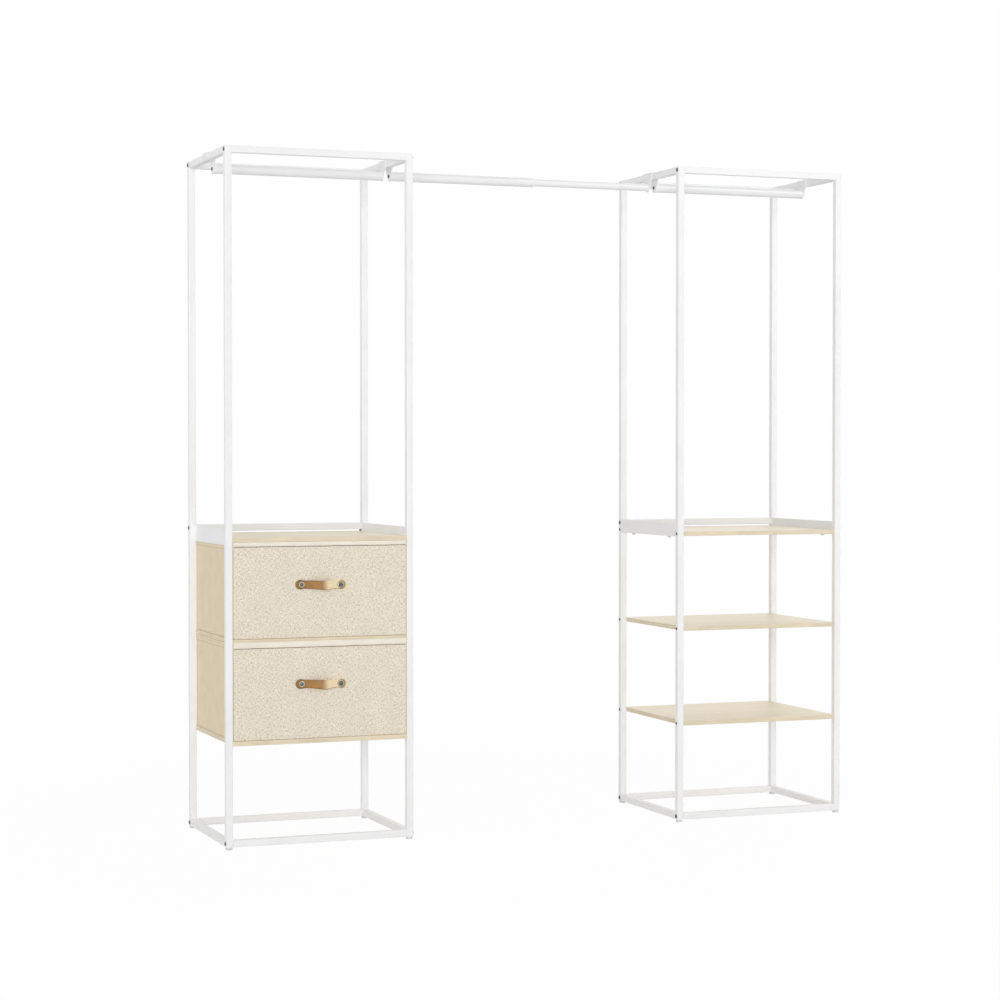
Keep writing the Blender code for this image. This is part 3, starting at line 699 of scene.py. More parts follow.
def square_tube(shape, low, high, axis, corner):
    """The outside of a square tube, with its long edges rounded."""
    vertices = box_between(shape, low, high)
    round_edges(shape, along(edges_of(vertices), axis), corner, 4)


def bead(shape, start, end, radius):
    """A weld bead between two points, with the ripples of its pool."""
    run, pitch = end - start, 0.0016
    count = max(4, round(run.length / pitch))
    rings = []
    for n in range(count + 1):
        swell = 0.5 if n in (0, count) else 0.86 if n % 2 else 1.0
        rings.append((radius * swell, run.length * n / count, 8))
    stack(shape, rings, aim(start, run.normalized()))


def post_corner(tower, depth, edge):
    """The lowest and highest corner of a post without its bolts' heads."""
    low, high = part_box(f"{tower}_{depth}_{edge}_post")
    if edge == "left":
        low.x = high.x - TUBE
    else:
        high.x = low.x + TUBE
    return low, high


def middle(node):
    """The middle of a CAD node's box."""
    low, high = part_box(node)
    return (low + high) / 2


class RACK_OT_posts(bpy.types.Operator):
    """Stand the eight posts, closed at the top and plugged at the bottom"""

    bl_idname = "rack.posts"
    bl_label = "Posts"

    def execute(self, context):
        sizes = context.scene.rack_frame
        for tower, depth, edge in POSTS:
            node = f"{tower}_{depth}_{edge}_post"
            shape = bmesh.new()
            square_tube(shape, *post_corner(tower, depth, edge), AXES["z"], sizes.tube_corner)
            inset(shape, facing(shape, Z), CAP_WALL, -END_STEP)
            facet = max(facing(shape, Z), key=lambda face: face.calc_center_median().dot(RIM_SIDE))
            inset(shape, [facet], RIM_FACET, END_STEP)
            plug = facing(shape, -Z)
            inset(shape, plug, PLUG_WALL)
            inset(shape, plug, END_STEP, END_STEP)
            for face in plug:
                face.material_index = 1
            surfaces = ("frame powder coat", "foot plastic")
            crisp(put(f"{node}_tube", shape, surfaces, tower, (node,)))
        return {"FINISHED"}


class RACK_OT_rails(bpy.types.Operator):
    """Join the posts: cross rails bolted between them and side rails welded to them"""

    bl_idname = "rack.rails"
    bl_label = "Rails"

    def execute(self, context):
        sizes = context.scene.rack_frame
        for tower in TOWERS:
            for depth in DEPTHS:
                for level in LEVELS[depth]:
                    node = f"{tower}_{depth}_{level}_rail"
                    shape = bmesh.new()
                    square_tube(shape, *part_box(node), AXES["x"], sizes.tube_corner)
                    # The middle rails take the darker copy of the white paint: painted shade
                    surfaces = ("painted shade powder coat" if level == "middle" else "frame powder coat",)
                    crisp(put(f"{node}_tube", shape, surfaces, tower, (node,)))
            for edge in EDGES:
                for level in ("top", "bottom"):
                    self.side_rail(tower, f"{tower}_{edge}_side_{level}_rail", level, sizes)
        return {"FINISHED"}

    def side_rail(self, tower, node, level, sizes):
        """A side rail run up to its posts, with the beads that hold it."""
        low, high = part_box(node)
        low.y -= GAP
        high.y += GAP
        shape = bmesh.new()
        square_tube(shape, low, high, AXES["y"], sizes.tube_corner)
        crisp(put(f"{node}_tube", shape, ("frame powder coat",), tower, (node,)))
        shape = bmesh.new()
        left, right = low.x + sizes.tube_corner, high.x - sizes.tube_corner
        heights = (low.z,) if level == "top" else (low.z, high.z)
        for height in heights:
            for place in (low.y, high.y):
                ends = [Vector((across, place, height)) for across in (left, right)]
                bead(shape, *ends, sizes.weld_radius)
        put(f"{node}_weld", shape, ("frame powder coat",), tower, angle=60.0)


class RACK_OT_bolts(bpy.types.Operator):
    """Tighten the dark bolts on the posts' outer faces"""

    bl_idname = "rack.bolts"
    bl_label = "Bolts"

    def execute(self, context):
        for tower, depth, edge in POSTS:
            low, high = post_corner(tower, depth, edge)
            outwards, face = (-X, low.x) if edge == "left" else (X, high.x)
            rails = [middle(f"{tower}_{depth}_{level}_rail") for level in LEVELS[depth]]
            heads = [(rail.z, RAIL_BOLT) for rail in rails]
            if tower == "right_tower":
                heads += [(middle(f"{tower}_{level}_board").z, BOARD_BOLT) for level in BOARDS]
            shape = bmesh.new()
            for height, head in heads:
                spot = Vector((face, (low.y + high.y) / 2, height))
                socket_head(shape, *head, aim(spot, outwards))
            put(f"{tower}_{depth}_{edge}_bolts", shape, ("black steel",), tower)
        self.rail_pin()
        return {"FINISHED"}

    def rail_pin(self):
        """The small screw end under the left tower's back middle rail, at its right post."""
        low, high = post_corner("left_tower", "back", "right")
        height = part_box("left_tower_back_middle_rail")[0].z - RAIL_PIN_DROP
        shape = bmesh.new()
        socket_head(shape, *RAIL_PIN, aim(Vector((low.x, (low.y + high.y) / 2, height)), -X))
        put("left_tower_rail_pin", shape, ("black steel",), "left_tower")


class RACK_OT_feet(bpy.types.Operator):
    """Screw a round glide under each post"""

    bl_idname = "rack.feet"
    bl_label = "Feet"

    def execute(self, context):
        for tower, depth, edge in POSTS:
            node = f"{tower}_{depth}_{edge}_foot"
            low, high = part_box(node)
            spot = Vector(((low.x + high.x) / 2, (low.y + high.y) / 2, low.z))
            radius = (high.x - low.x) / 2
            post_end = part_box(f"{tower}_{depth}_{edge}_post")[0].z
            rings = GLIDE + ((0.9, post_end - GLIDE_NECK), (0.55, post_end + GLIDE_NECK))
            shape = bmesh.new()
            stack(shape, [(share * radius, height, 48) for share, height in rings], aim(spot, Z))
            put(f"{node}_glide", shape, ("foot plastic",), tower, (node,))
        return {"FINISHED"}


class RACK_OT_boards(bpy.types.Operator):
    """Lay the six wooden boards, with a band along their edges"""

    bl_idname = "rack.boards"
    bl_label = "Boards"

    def execute(self, context):
        sizes = context.scene.rack_frame
        for tower in TOWERS:
            for level in BOARDS:
                node = f"{tower}_{level}_board"
                low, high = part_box(node)
                shape = bmesh.new()
                vertices = box_between(shape, low, high)
                round_edges(shape, along(edges_of(vertices), AXES["z"]), BOARD_CORNER, 4)
                faces = facing(shape, Z) + facing(shape, -Z)
                for face in shape.faces:
                    face.material_index = 1
                inset(shape, faces, sizes.band)
                for face in faces:
                    face.material_index = 0
                for vertex in {vertex for face in faces for vertex in face.verts}:
                    vertex.co.z += math.copysign(BAND_GROOVE, (low.z + high.z) / 2 - vertex.co.z)
                surfaces = ("board face", "board edge band")
                piece = put(f"{node}_panel", shape, surfaces, tower, (node,))
                crisp(soften(piece, sizes.board_edge, 2))
        return {"FINISHED"}


class RACK_OT_guards(bpy.types.Operator):
    """Fit the low side guards: plain sheets at the left tower, flanged and screwed at the right"""

    bl_idname = "rack.guards"
    bl_label = "Guards"

    def execute(self, context):
        sizes = context.scene.rack_frame
        for edge in EDGES:
            node = f"left_tower_{edge}_guard"
            low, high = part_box(node)
            shape = bmesh.new()
            vertices = box_between(shape, low, high)
            round_edges(shape, along(edges_of(vertices), AXES["x"]), sizes.guard_corner, 5)
            outer, face = (-LIP_PROUD, low.x) if edge == "left" else (LIP_PROUD, high.x)
            for height in (low.z + LIP_MARGIN, high.z - LIP_MARGIN - LIP_HEIGHT):
                start = Vector((min(face, face + outer), low.y + LIP_END, height))
                end = Vector((max(face, face + outer), high.y - LIP_END, height + LIP_HEIGHT))
                box_between(shape, start, end)
            piece = put(f"{node}_sheet", shape, ("frame powder coat",), "left_tower", (node,))
            crisp(soften(piece, 0.0004, 2))
            self.flanged(edge)
        return {"FINISHED"}

    def flanged(self, edge):
        """Paints a flanged guard and puts its two screws on."""
        node = f"right_tower_{edge}_guard"
        # The right guard takes the darker copy of the white paint: painted shade
        repaint(node, "frame powder coat" if edge == "left" else "painted shade powder coat")
        low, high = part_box(node)
        across = low.x + GUARD_SCREW_INSET if edge == "left" else high.x - GUARD_SCREW_INSET
        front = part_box("right_tower_upper_board")[0].y
        shape = bmesh.new()
        for place in GUARD_SCREW_PLACES:
            spot = Vector((across, front + place, low.z + GUARD_SCREW_SEAT))
            socket_head(shape, *GUARD_SCREW, aim(spot, -Z))
        put(f"{node}_screws", shape, ("zinc",), "right_tower")


def repaint(node, surface):
    """Gives a CAD node that stays its detailed finish."""
    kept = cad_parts[node]
    if not kept.material_slots:
        kept.data.materials.append(finish(surface))
    for place in kept.material_slots:
        place.material = finish(surface)


class RACK_OT_brackets(bpy.types.Operator):
    """Hook the rod brackets over the top rails and screw the rods' ends to them"""

    bl_idname = "rack.brackets"
    bl_label = "Rod brackets"

    def execute(self, context):
        for (tower, edge), legs in ROD_LEGS.items():
            node = f"{tower}_{edge}_rod_bracket"
            repaint(node, "bracket powder coat")
            rail = middle(f"{tower}_{edge}_side_top_rail")
            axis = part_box(f"{tower}_{edge}_side_top_rail")[1].z - ROD_DROP
            shape = bmesh.new()
            for leg in legs:
                spot = Vector((rail.x + leg * BRACKET_LEG, rail.y, axis))
                socket_head(shape, *BRACKET_SCREW, aim(spot, -leg * X))
            put(f"{node}_screws", shape, ("black steel",), tower)
        return {"FINISHED"}


class RACK_OT_rods(bpy.types.Operator):
    """Hang the rods in the towers and the telescopic rod between them"""

    bl_idname = "rack.rods"
    bl_label = "Rods"

    def execute(self, context):
        sizes = context.scene.rack_frame
        wall, steps = sizes.rod_wall, sizes.rod_sides
        for tower in TOWERS:
            node = f"{tower}_hanging_rod"
            self.rod(node, tower, steps, self.plain(node, wall))
        node = "connecting_rod_inner_tube"
        self.rod(node, "right_tower", steps, self.plain(node, wall))
        node = "connecting_rod_outer_tube"
        self.rod(node, "left_tower", steps, self.mouthed(node, wall))
        return {"FINISHED"}

    def mouthed(self, node, wall):
        """The outer tube's profile: its mouth is rolled in to guide the inner tube."""
        low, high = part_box(node)
        radius, run = (high.z - low.z) / 2, high.x - low.x
        guide, lip, roll = 0.0103, 0.0006, 0.0046
        neck = run - 0.0052
        profile = [(radius - wall, 0.0003), (radius - 0.0008, 0.0), (radius - 0.0002, 0.0002)]
        profile += [(radius, 0.0008), (radius, neck)]
        reach = radius - guide - lip
        for turn in (20, 40, 60, 80):
            swing = math.radians(turn)
            profile.append((radius - reach * (1 - math.cos(swing)), neck + roll * math.sin(swing)))
        profile += [(guide + 0.0007, run - 0.0001), (guide + 0.0003, run), (guide, run - 0.0004)]
        return profile + [(guide, run - 0.004), (radius - wall, run - 0.0065)]

    def plain(self, node, wall):
        """A straight rod's profile, with its cut ends dressed."""
        low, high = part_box(node)
        radius, run = (high.z - low.z) / 2, high.x - low.x
        edge = 0.0003
        profile = [(radius - wall, 0.0), (radius - edge, 0.0), (radius, edge)]
        return profile + [(radius, run - edge), (radius - edge, run), (radius - wall, run)]

    def rod(self, node, body, steps, profile):
        """A tube turned about the rod's axis."""
        low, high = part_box(node)
        start = Vector((low.x, (low.y + high.y) / 2, (low.z + high.z) / 2))
        shape = bmesh.new()
        rings = [(radius, height, steps) for radius, height in profile]
        stack(shape, rings, aim(start, X), closed=True)
        put(f"{node}_turned", shape, ("rod paint",), body, (node,))


def lay_threads(shape):
    """A flat map of each face in metres, so that threads run along the cloth's edges."""
    shape.normal_update()
    layer = shape.loops.layers.uv.new("threads")
    for face in shape.faces:
        widest = max(range(3), key=lambda axis: abs(face.normal[axis]))
        across, up = ((1, 2), (0, 2), (0, 1))[widest]
        for loop in face.loops:
            loop[layer].uv = (loop.vert.co[across], loop.vert.co[up])


def slice_up(shape, low, high, spacing):
    """Cuts a shape into a regular mesh, so that it can be bent."""
    for axis in range(3):
        count = round((high[axis] - low[axis]) / spacing)
        for n in range(1, count):
            place = low.copy()
            place[axis] += (high[axis] - low[axis]) * n / count
            normal = Vector([1.0 if other == axis else 0.0 for other in range(3)])
            geometry = shape.verts[:] + shape.edges[:] + shape.faces[:]
            bmesh.ops.bisect_plane(shape, geom=geometry, plane_co=place, plane_no=normal)


def padded(boxes, spacing):
    """Boxes of cloth from (corner, corner, radius), cut up to bend from the last box to the first."""
    shape = bmesh.new()
    for low, high, radius in boxes:
        round_edges(shape, edges_of(box_between(shape, low, high)), radius, 3)
    slice_up(shape, boxes[-1][0], boxes[0][1], spacing)
    return shape


def ripple(point, size):
    """A small smooth unevenness of cloth at a point."""
    first = math.sin(41.0 * point.x + 17.0 * point.z + 2.0)
    second = math.sin(23.0 * point.y - 37.0 * point.z + 0.7)
    third = math.sin(67.0 * point.x + 59.0 * point.y + 71.0 * point.z)
    return size * (0.5 * first + 0.35 * second + 0.15 * third)


def stitch_row(shape, start, end, outwards, sizes):
    """A row of stitches that lie on a cloth between two points."""
    run = end - start
    pitch = sizes.stitch + sizes.stitch_gap
    count = int(run.length / pitch)
    turn = Matrix((run.normalized(), outwards.cross(run.normalized()), outwards)).transposed()
    for n in range(count):
        place = start + run * ((n + 0.5) / count)
        size = Vector((sizes.stitch / 2, sizes.thread, 0.6 * sizes.thread))
        matrix = Matrix.LocRotScale(place, turn.to_quaternion(), size)
        bmesh.ops.create_icosphere(shape, subdivisions=1, radius=1.0, matrix=matrix)


class RACK_OT_drawers(bpy.types.Operator):
    """Sew the two fabric drawers: walls, woven front, hems, stitches and the inner pocket"""

    bl_idname = "rack.drawers"
    bl_label = "Fabric drawers"

    def execute(self, context):
        sizes = context.scene.rack_drawers
        for drawer, lift in DRAWERS.items():
            low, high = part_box(f"{drawer}_fabric_box")
            self.walls(drawer, low, high, sizes)
            self.front(drawer, low, high, sizes)
            self.front_hem(drawer, low, high, lift, sizes)
            self.side_hem(drawer, low, high, lift, sizes)
            self.pocket(drawer)
            self.seams(drawer, low, high, lift, sizes)
            self.stitches(drawer, low, high, lift, sizes)
            repaint(f"{drawer}_base_board", "hardboard")
        return {"FINISHED"}

    def sag(self, point, low, high, sizes):
        """Moves a point of the walls as limp cloth does: the sides draw in and ripple."""
        centre = (low + high) / 2
        half = (high - low) / 2
        at_wall, unevenness = 0.97, 0.00045
        part = [(point[axis] - centre[axis]) / half[axis] for axis in range(3)]
        lift = max(0.0, 1.0 - part[2] ** 2)
        depth = max(0.0, 1.0 - part[1] ** 4)
        width = max(0.0, 1.0 - part[0] ** 4)
        wave = ripple(point, unevenness) * lift
        if abs(part[0]) > at_wall:
            point.x -= math.copysign(sizes.side_bow * lift * depth + wave * depth, part[0])
        if part[1] > at_wall:
            point.y -= sizes.side_bow * lift * width + wave * width

    def walls(self, drawer, low, high, sizes):
        """The cloth walls and floor, with the lining as their inner side."""
        side_gap, floor_corner, spacing = 0.0003, 0.0022, 0.013
        low, high = low.copy(), high.copy()
        low.y += sizes.front_layer - LAYER_SINK
        low.x += side_gap
        high.x -= side_gap
        shape = bmesh.new()
        vertices = box_between(shape, low, high)
        bmesh.ops.delete(shape, geom=facing(shape, Z), context="FACES")
        upright = along(edges_of(vertices), AXES["z"])
        round_edges(shape, upright, sizes.corner, 4)
        floor = [edge for face in facing(shape, -Z) for edge in face.edges]
        round_edges(shape, floor, floor_corner, 3)
        slice_up(shape, low, high, spacing)
        for vertex in shape.verts:
            self.sag(vertex.co, low, high, sizes)
        lay_threads(shape)
        node = f"{drawer}_fabric_box"
        piece = put(f"{drawer}_cloth_walls", shape, ("side cloth", "lining"), drawer, (node,), 60.0)
        thicken(piece, sizes.cloth - LAYER_SINK, 1)

    def front(self, drawer, low, high, sizes):
        """The woven layer over the stiff front. Its edges fall back to the walls."""
        edge, spacing, border, face_depth = 0.0010, 0.009, 0.009, 0.0012
        fallen, set_back, unevenness = 0.0007, 0.00008, 0.00007
        top = high.z - sizes.hem - sizes.groove
        start = Vector((low.x + FRONT_GAP, low.y, low.z + LAYER_SINK))
        end = Vector((high.x - FRONT_GAP, low.y + sizes.front_layer, top))
        shape = padded([(start, end, edge)], spacing)
        for vertex in shape.verts:
            point = vertex.co
            near = min(point.x - start.x, end.x - point.x, point.z - start.z, end.z - point.z)
            fall = max(0.0, 1.0 - near / border)
            if point.y < start.y + face_depth:
                point.y += fallen * fall * fall + set_back + ripple(point, unevenness)
        lay_threads(shape)
        put(f"{drawer}_woven_front", shape, ("front linen",), drawer, angle=60.0)

    def front_hem(self, drawer, low, high, lift, sizes):
        """The hem folded over the front's top edge, with its tape that laps over the board's edge."""
        fold_edge, tape_edge, spacing = 0.0012, 0.0004, 0.007
        crown, unevenness, border, waviness = 0.0005, 0.0001, 0.001, 0.00022
        left, right, back = low.x + FRONT_GAP, high.x - FRONT_GAP, low.y - HEM_GAP
        bottom = high.z - sizes.hem
        fold_low = Vector((left, back, bottom + LAYER_SINK))
        fold_high = Vector((right, low.y + sizes.cloth + LAYER_SINK, high.z + HEM_GAP))
        tape_low = Vector((left, low.y - sizes.hem_proud, bottom))
        tape_high = Vector((right, back, high.z + sizes.lap + lift))
        shape = padded([(fold_low, fold_high, fold_edge), (tape_low, tape_high, tape_edge)], spacing)
        mid_height = (tape_low.z + tape_high.z) / 2
        for vertex in shape.verts:
            point = vertex.co
            if point.y < low.y:
                part = (point.z - mid_height) / (tape_high.z - mid_height)
                point.y -= crown * max(0.0, 1.0 - part * part) - ripple(point * 1.7, unevenness)
                if point.z < bottom + border:
                    point.z += ripple(point * 2.3, waviness)
        lay_threads(shape)
        put(f"{drawer}_front_hem", shape, ("hem tape",), drawer, angle=60.0)

    def side_hem(self, drawer, low, high, lift, sizes):
        """The folded hem round the top of the sides and the back."""
        wall, edge, spacing, border, waviness = 0.0042, 0.0012, 0.011, 0.002, 0.0005
        start = Vector((low.x - HEM_PROUD, low.y + sizes.cloth, high.z - sizes.side_hem + lift))
        end = Vector((high.x + HEM_PROUD, high.y + HEM_BACK, high.z + HEM_GAP))
        shape = bmesh.new()
        vertices = box_between(shape, start, end)
        gone = facing(shape, Z) + facing(shape, -Z) + facing(shape, -Y)
        bmesh.ops.delete(shape, geom=gone, context="FACES")
        left = edges_of([vertex for vertex in vertices if vertex.is_valid])
        upright = [edge for edge in along(left, AXES["z"]) if len(edge.link_faces) > 1]
        round_edges(shape, upright, sizes.corner, 4)
        slice_up(shape, start, end, spacing)
        for vertex in shape.verts:
            if vertex.co.z < start.z + border:
                vertex.co.z += ripple(vertex.co * 1.9, waviness)
        lay_threads(shape)
        piece = put(f"{drawer}_side_hem", shape, ("side hem",), drawer, angle=60.0)
        soften(thicken(piece, wall), edge)

    def pocket(self, drawer):
        """The lining pocket that holds the stiff panel behind the front."""
        edge, spacing, face_depth, unevenness = 0.0016, 0.012, 0.001, 0.00012
        pressed, pressed_drop, pressed_run = 0.0006, 0.007, 0.004
        node = f"{drawer}_front_panel"
        low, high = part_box(node)
        low -= Vector((0.0004, 0.0002, 0.0002))
        high += Vector((0.0004, 0.0004, 0.0008))
        shape = padded([(low, high, edge)], spacing)
        for vertex in shape.verts:
            point = vertex.co
            if point.y > high.y - face_depth:
                near = abs(high.z - pressed_drop - point.z)
                point.y -= pressed * max(0.0, 1.0 - near / pressed_run) - ripple(point, unevenness)
        lay_threads(shape)
        put(f"{drawer}_front_pocket", shape, ("lining",), drawer, (node,), 60.0)

    def seams(self, drawer, low, high, lift, sizes):
        """The dark cord in the seam under the front hem, its darkness partly painted shade, and threads
        along the side hems: one at the hem's seam, the upper one a dark line of painted shade.
        """
        cord_end, front_end, back_end, thread = 0.0012, 0.004, 0.006, 0.00045
        shape = bmesh.new()
        # A dark cord at the bottom of the seam under the front hem; its darkness is partly painted shade of
        # the seam
        level = high.z - sizes.hem - sizes.groove / 2
        depth = low.y + sizes.front_layer - LAYER_SINK - 0.6 * sizes.cord
        ends = [Vector((across, depth, level)) for across in (low.x + cord_end, high.x - cord_end)]
        bead(shape, *ends, sizes.cord)
        put(f"{drawer}_front_cord", shape, ("seam cord",), drawer, angle=60.0)
        shape = bmesh.new()
        # The upper thread is a dark line of painted shade under the edge above it; the lower one is the
        # hem's seam
        for drop in (sizes.side_hem - sizes.shade_line_height, sizes.side_hem):
            level = high.z - drop + lift
            for across in (low.x - HEM_PROUD, high.x + HEM_PROUD):
                ends = [Vector((across, depth, level)) for depth in (low.y + front_end, high.y - back_end)]
                bead(shape, *ends, thread)
        put(f"{drawer}_side_cords", shape, ("sewing thread",), drawer, angle=60.0)

    def stitches(self, drawer, low, high, lift, sizes):
        """The visible rows of stitches: along the hems and the pocket."""
        shape = bmesh.new()
        lift_off, margin = 0.5 * sizes.thread, 0.004
        panel_low, panel_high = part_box(f"{drawer}_front_panel")
        front_level = high.z - sizes.hem + 0.0026
        side_level = high.z - sizes.side_hem + lift + 0.0022
        rows = [
            (-Y, low.y - sizes.hem_proud - 0.0004, front_level, low.x, high.x),
            (Y, high.y + HEM_BACK, side_level, low.x, high.x),
            (Y, panel_high.y - 0.0002, panel_high.z - 0.0062, panel_low.x, panel_high.x),
        ]
        for outwards, place, level, left, right in rows:
            depth = place + outwards.y * lift_off
            ends = [Vector((across, depth, level)) for across in (left + margin, right - margin)]
            stitch_row(shape, *ends, outwards, sizes)
        for outwards, place in ((-X, low.x - HEM_PROUD), (X, high.x + HEM_PROUD)):
            across = place + outwards.x * lift_off
            depths = (low.y + 2 * margin, high.y - 2 * margin)
            ends = [Vector((across, depth, side_level)) for depth in depths]
            stitch_row(shape, *ends, outwards, sizes)
        lay_threads(shape)
        put(f"{drawer}_stitches", shape, ("sewing thread",), drawer, angle=180.0)


class RACK_OT_handles(bpy.types.Operator):
    """Screw a bowed leather strap to each drawer's front"""

    bl_idname = "rack.handles"
    bl_label = "Strap handles"

    def execute(self, context):
        sizes = context.scene.rack_drawers
        for drawer, lift in DRAWERS.items():
            low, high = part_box(f"{drawer}_handle")
            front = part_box(f"{drawer}_fabric_box")[0].y
            level = (low.z + high.z) / 2 - sizes.strap_low + lift
            centre = Vector(((low.x + high.x) / 2, front - GAP, level))
            self.strap(drawer, centre, high.x - low.x, high.z - low.z + sizes.strap_extra, sizes)
            self.screws(drawer, centre, sizes)
        return {"FINISHED"}

    def strap(self, drawer, centre, reach, width, sizes):
        """The strap: flat where it is screwed down, round at its ends and bowed between."""
        shape = bmesh.new()
        bmesh.ops.create_grid(shape, x_segments=96, y_segments=14, size=0.5)
        layer = shape.loops.layers.uv.new("threads")
        half = width / 2
        straight = reach / 2 - half
        bow_end, waist, waist_run = 0.0435, 0.13, 0.012
        belly, belly_place, belly_run = 0.25, 0.006, 0.018
        cupped, leaning = 0.0006, 0.0012
        for vertex in shape.verts:
            x = reach / 2 * math.sin(math.pi * vertex.co.x)
            past = max(0.0, abs(x) - straight)
            vertex.co = (x, 0.0, 2 * vertex.co.y * math.sqrt(max(0.0, half * half - past * past)))
        for face in shape.faces:
            for loop in face.loops:
                loop[layer].uv = (loop.vert.co.x, loop.vert.co.z)
        for vertex in shape.verts:
            x, _, z = vertex.co
            rise = 0.0
            if abs(x) < bow_end:
                rise = sizes.strap_rise * (1 + math.cos(math.pi * x / bow_end)) / 2
            bent = rise / sizes.strap_rise
            z *= 1.0 - waist * min(1.0, max(0.0, (straight - abs(x)) / waist_run)) ** 2
            if z < 0.0:
                z *= 1.0 + belly * math.exp(-((x - belly_place) / belly_run) ** 2)
            cup = cupped * (z / half) ** 2 * bent
            lean = leaning * bent * z / half
            level = z - sizes.strap_drop * bent - sizes.strap_tilt * x
            vertex.co = centre + Vector((x, cup + lean - rise, level))
        shape.normal_update()
        if sum(face.normal.y for face in shape.faces) < 0:
            bmesh.ops.reverse_faces(shape, faces=shape.faces)
        node = f"{drawer}_handle"
        piece = put(f"{drawer}_leather_strap", shape, ("strap leather",), drawer, (node,), 50.0)
        soften(thicken(piece, sizes.strap), 0.0008, 3)

    def screws(self, drawer, centre, sizes):
        """Polished screws through the strap's ends, with their nuts behind the pocket."""
        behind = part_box(f"{drawer}_front_panel")[1].y
        for side, across, dark in HANDLE_SCREWS:
            face = centre + Vector((across, -sizes.strap, -sizes.strap_tilt * across))
            shape = bmesh.new()
            stack(shape, [(radius, height, 40) for radius, height in SCREW_FACE], aim(face, -Y))
            # Faces inside the dark radius take black steel; on the right screw this reaches over its ring
            # as painted shade
            for patch in shape.faces:
                away = patch.calc_center_median() - face
                patch.material_index = int(math.hypot(away.x, away.z) < dark)
            spot = Vector((face.x, behind + WASHER_GAP, face.z))
            for rings, corners in ((WASHER, 24), (NUT, 6)):
                stack(shape, [(radius, height, corners) for radius, height in rings], aim(spot, Y))
            put(f"{drawer}_handle_{side}_screw", shape, ("nickel", "black steel"), drawer)


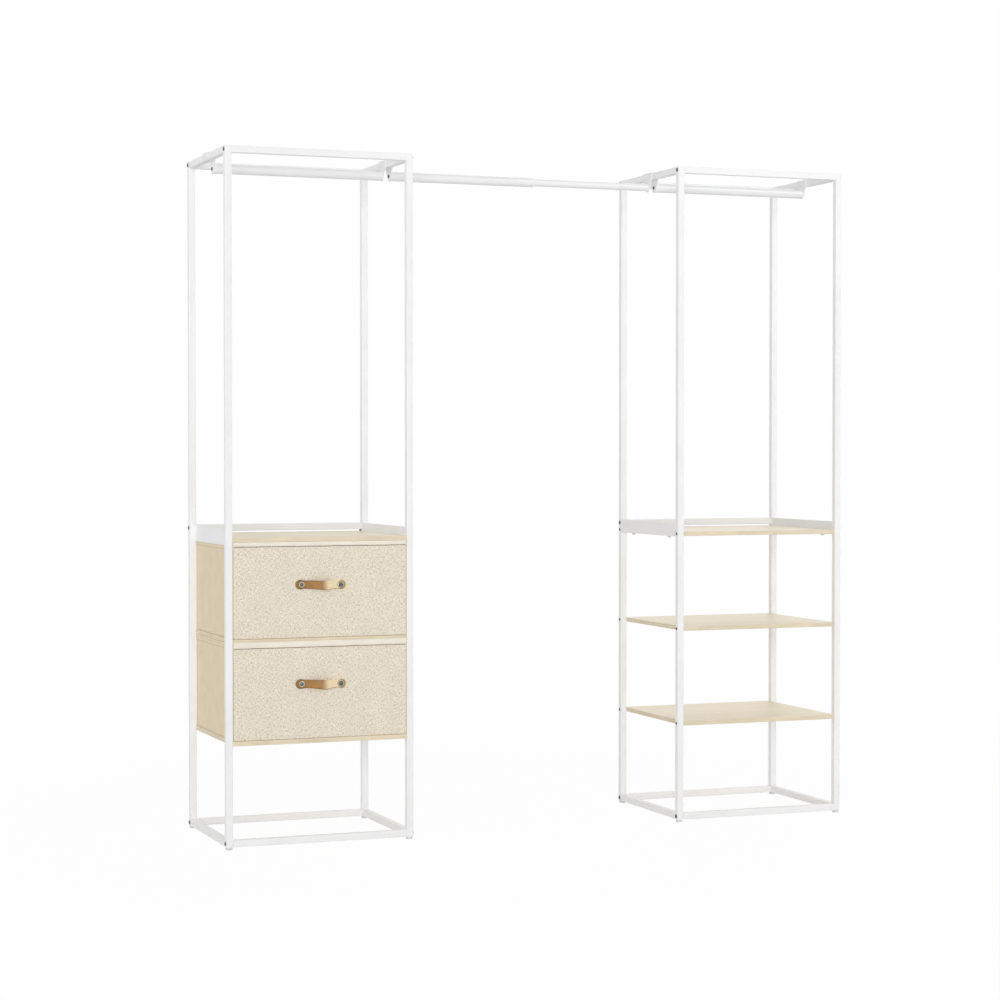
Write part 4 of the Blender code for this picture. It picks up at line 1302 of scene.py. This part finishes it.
class RACK_OT_studio(bpy.types.Operator):
    """Set the floor, the light and the camera"""

    bl_idname = "rack.studio"
    bl_label = "Studio"

    def execute(self, context):
        studio = context.scene.rack_studio
        self.room(context.scene, studio)
        self.floor(studio)
        for name, placing in LAMPS.items():
            self.lamp(f"{name} lamp", getattr(studio, name), *placing)
        self.camera(context.scene, studio)
        context.scene.view_settings.view_transform = "Standard"
        return {"FINISHED"}

    def room(self, scene, studio):
        """White all round: full white to the camera, softer as a light."""
        world = bpy.data.worlds.new("room")
        world.use_nodes = True
        nodes, links = world.node_tree.nodes, world.node_tree.links
        rays = nodes.new("ShaderNodeLightPath")
        seen = rays.outputs["Is Camera Ray"]
        for kind in ("Is Transmission Ray", "Is Glossy Ray"):
            either = nodes.new("ShaderNodeMath")
            either.operation = "MAXIMUM"
            links.new(seen, either.inputs[0])
            links.new(rays.outputs[kind], either.inputs[1])
            seen = either.outputs[0]
        strength = nodes.new("ShaderNodeMapRange")
        links.new(seen, strength.inputs["Value"])
        strength.inputs["To Min"].default_value = studio.daylight
        strength.inputs["To Max"].default_value = 1.0
        sky = nodes["Background"]
        sky.inputs["Color"].default_value = (1.0, 1.0, 1.0, 1.0)
        links.new(strength.outputs[0], sky.inputs["Strength"])
        scene.world = world

    def floor(self, studio):
        """A wide pale floor that keeps the shadow near the rack and ends in the white of the room."""
        made = Surface("floor", studio.floor, 0.9, {"Specular IOR Level": 0.0})
        where = made.spread()
        distance = made.node("ShaderNodeVectorMath", {"operation": "LENGTH"}, {0: where}, "Value")
        rays = made.node("ShaderNodeLightPath")
        outputs = rays.socket.node.outputs
        seen = Number(made, outputs["Is Camera Ray"]).larger(Number(made, outputs["Is Transmission Ray"]))
        made.give("Base Color", made.mix(seen, FLOOR_AS_LIGHT, tuple(studio.floor)))
        white = made.node("ShaderNodeEmission", {}, {"Color": (1.0, 1.0, 1.0), "Strength": 1.0})
        far = made.fade(distance, *FLOOR_FADE) * seen
        parts = {0: far, 1: Number(made, made.shader.outputs[0]), 2: white}
        mixed = made.node("ShaderNodeMixShader", {}, parts)
        output = made.tree.nodes["Material Output"]
        made.tree.links.new(mixed.socket, output.inputs["Surface"])
        shape = bmesh.new()
        bmesh.ops.create_circle(shape, cap_ends=True, segments=96, radius=FLOOR_RADIUS)
        mesh = bpy.data.meshes.new("floor")
        shape.to_mesh(mesh)
        shape.free()
        mesh.materials.append(made.material)
        ground = bpy.data.objects.new("floor", mesh)
        bpy.context.scene.collection.objects.link(ground)

    def lamp(self, name, share, direction, distance, size, shadow):
        """A soft square lamp in a direction from the middle of the rack. The camera doesn't see it."""
        data = bpy.data.lights.new(name, "AREA")
        data.use_shadow = shadow
        data.size = size
        data.energy = share * (math.pi * distance) ** 2
        lamp = bpy.data.objects.new(name, data)
        towards = Vector(direction).normalized()
        lamp.location = RACK_MIDDLE + distance * towards
        lamp.rotation_euler = towards.to_track_quat("Z", "Y").to_euler()
        lamp.visible_camera = False
        bpy.context.scene.collection.objects.link(lamp)

    def camera(self, scene, studio):
        """A level camera to the left of the rack's front."""
        data = bpy.data.cameras.new("camera")
        data.lens = studio.lens
        data.sensor_width = CAMERA_SENSOR
        data.clip_end = CAMERA_REACH
        camera = bpy.data.objects.new("camera", data)
        camera.location = CAMERA_PLACE
        camera.rotation_euler = [math.radians(turn) for turn in CAMERA_TURN]
        scene.collection.objects.link(camera)
        scene.camera = camera


STEPS = (
    RACK_OT_studio,
    RACK_OT_posts,
    RACK_OT_rails,
    RACK_OT_bolts,
    RACK_OT_feet,
    RACK_OT_boards,
    RACK_OT_guards,
    RACK_OT_brackets,
    RACK_OT_rods,
    RACK_OT_drawers,
    RACK_OT_handles,
)


class RACK_PT_sidebar(bpy.types.Panel):
    """Lists the rack's settings and the steps that make it"""

    bl_idname = "RACK_PT_sidebar"
    bl_label = "Clothes Rack"
    bl_space_type = "VIEW_3D"
    bl_region_type = "UI"
    bl_category = "Rack"

    def draw(self, context):
        for group, settings in GROUPS.items():
            box = self.layout.box()
            for name in settings.__annotations__:
                box.prop(getattr(context.scene, group), name)
        for step in STEPS:
            self.layout.operator(step.bl_idname)


def register():
    """Adds the settings, the steps and the sidebar."""
    for name, settings in GROUPS.items():
        bpy.utils.register_class(settings)
        setattr(bpy.types.Scene, name, PointerProperty(type=settings))
    for step in STEPS:
        bpy.utils.register_class(step)
    bpy.utils.register_class(RACK_PT_sidebar)


def unregister():
    """Takes them away again."""
    bpy.utils.unregister_class(RACK_PT_sidebar)
    for step in reversed(STEPS):
        bpy.utils.unregister_class(step)
    for name, settings in GROUPS.items():
        delattr(bpy.types.Scene, name)
        bpy.utils.unregister_class(settings)


def main():
    """Makes the whole scene."""
    register()
    for step in STEPS:
        group, name = step.bl_idname.split(".")
        getattr(getattr(bpy.ops, group), name)()


if __name__ == "__main__":
    main()
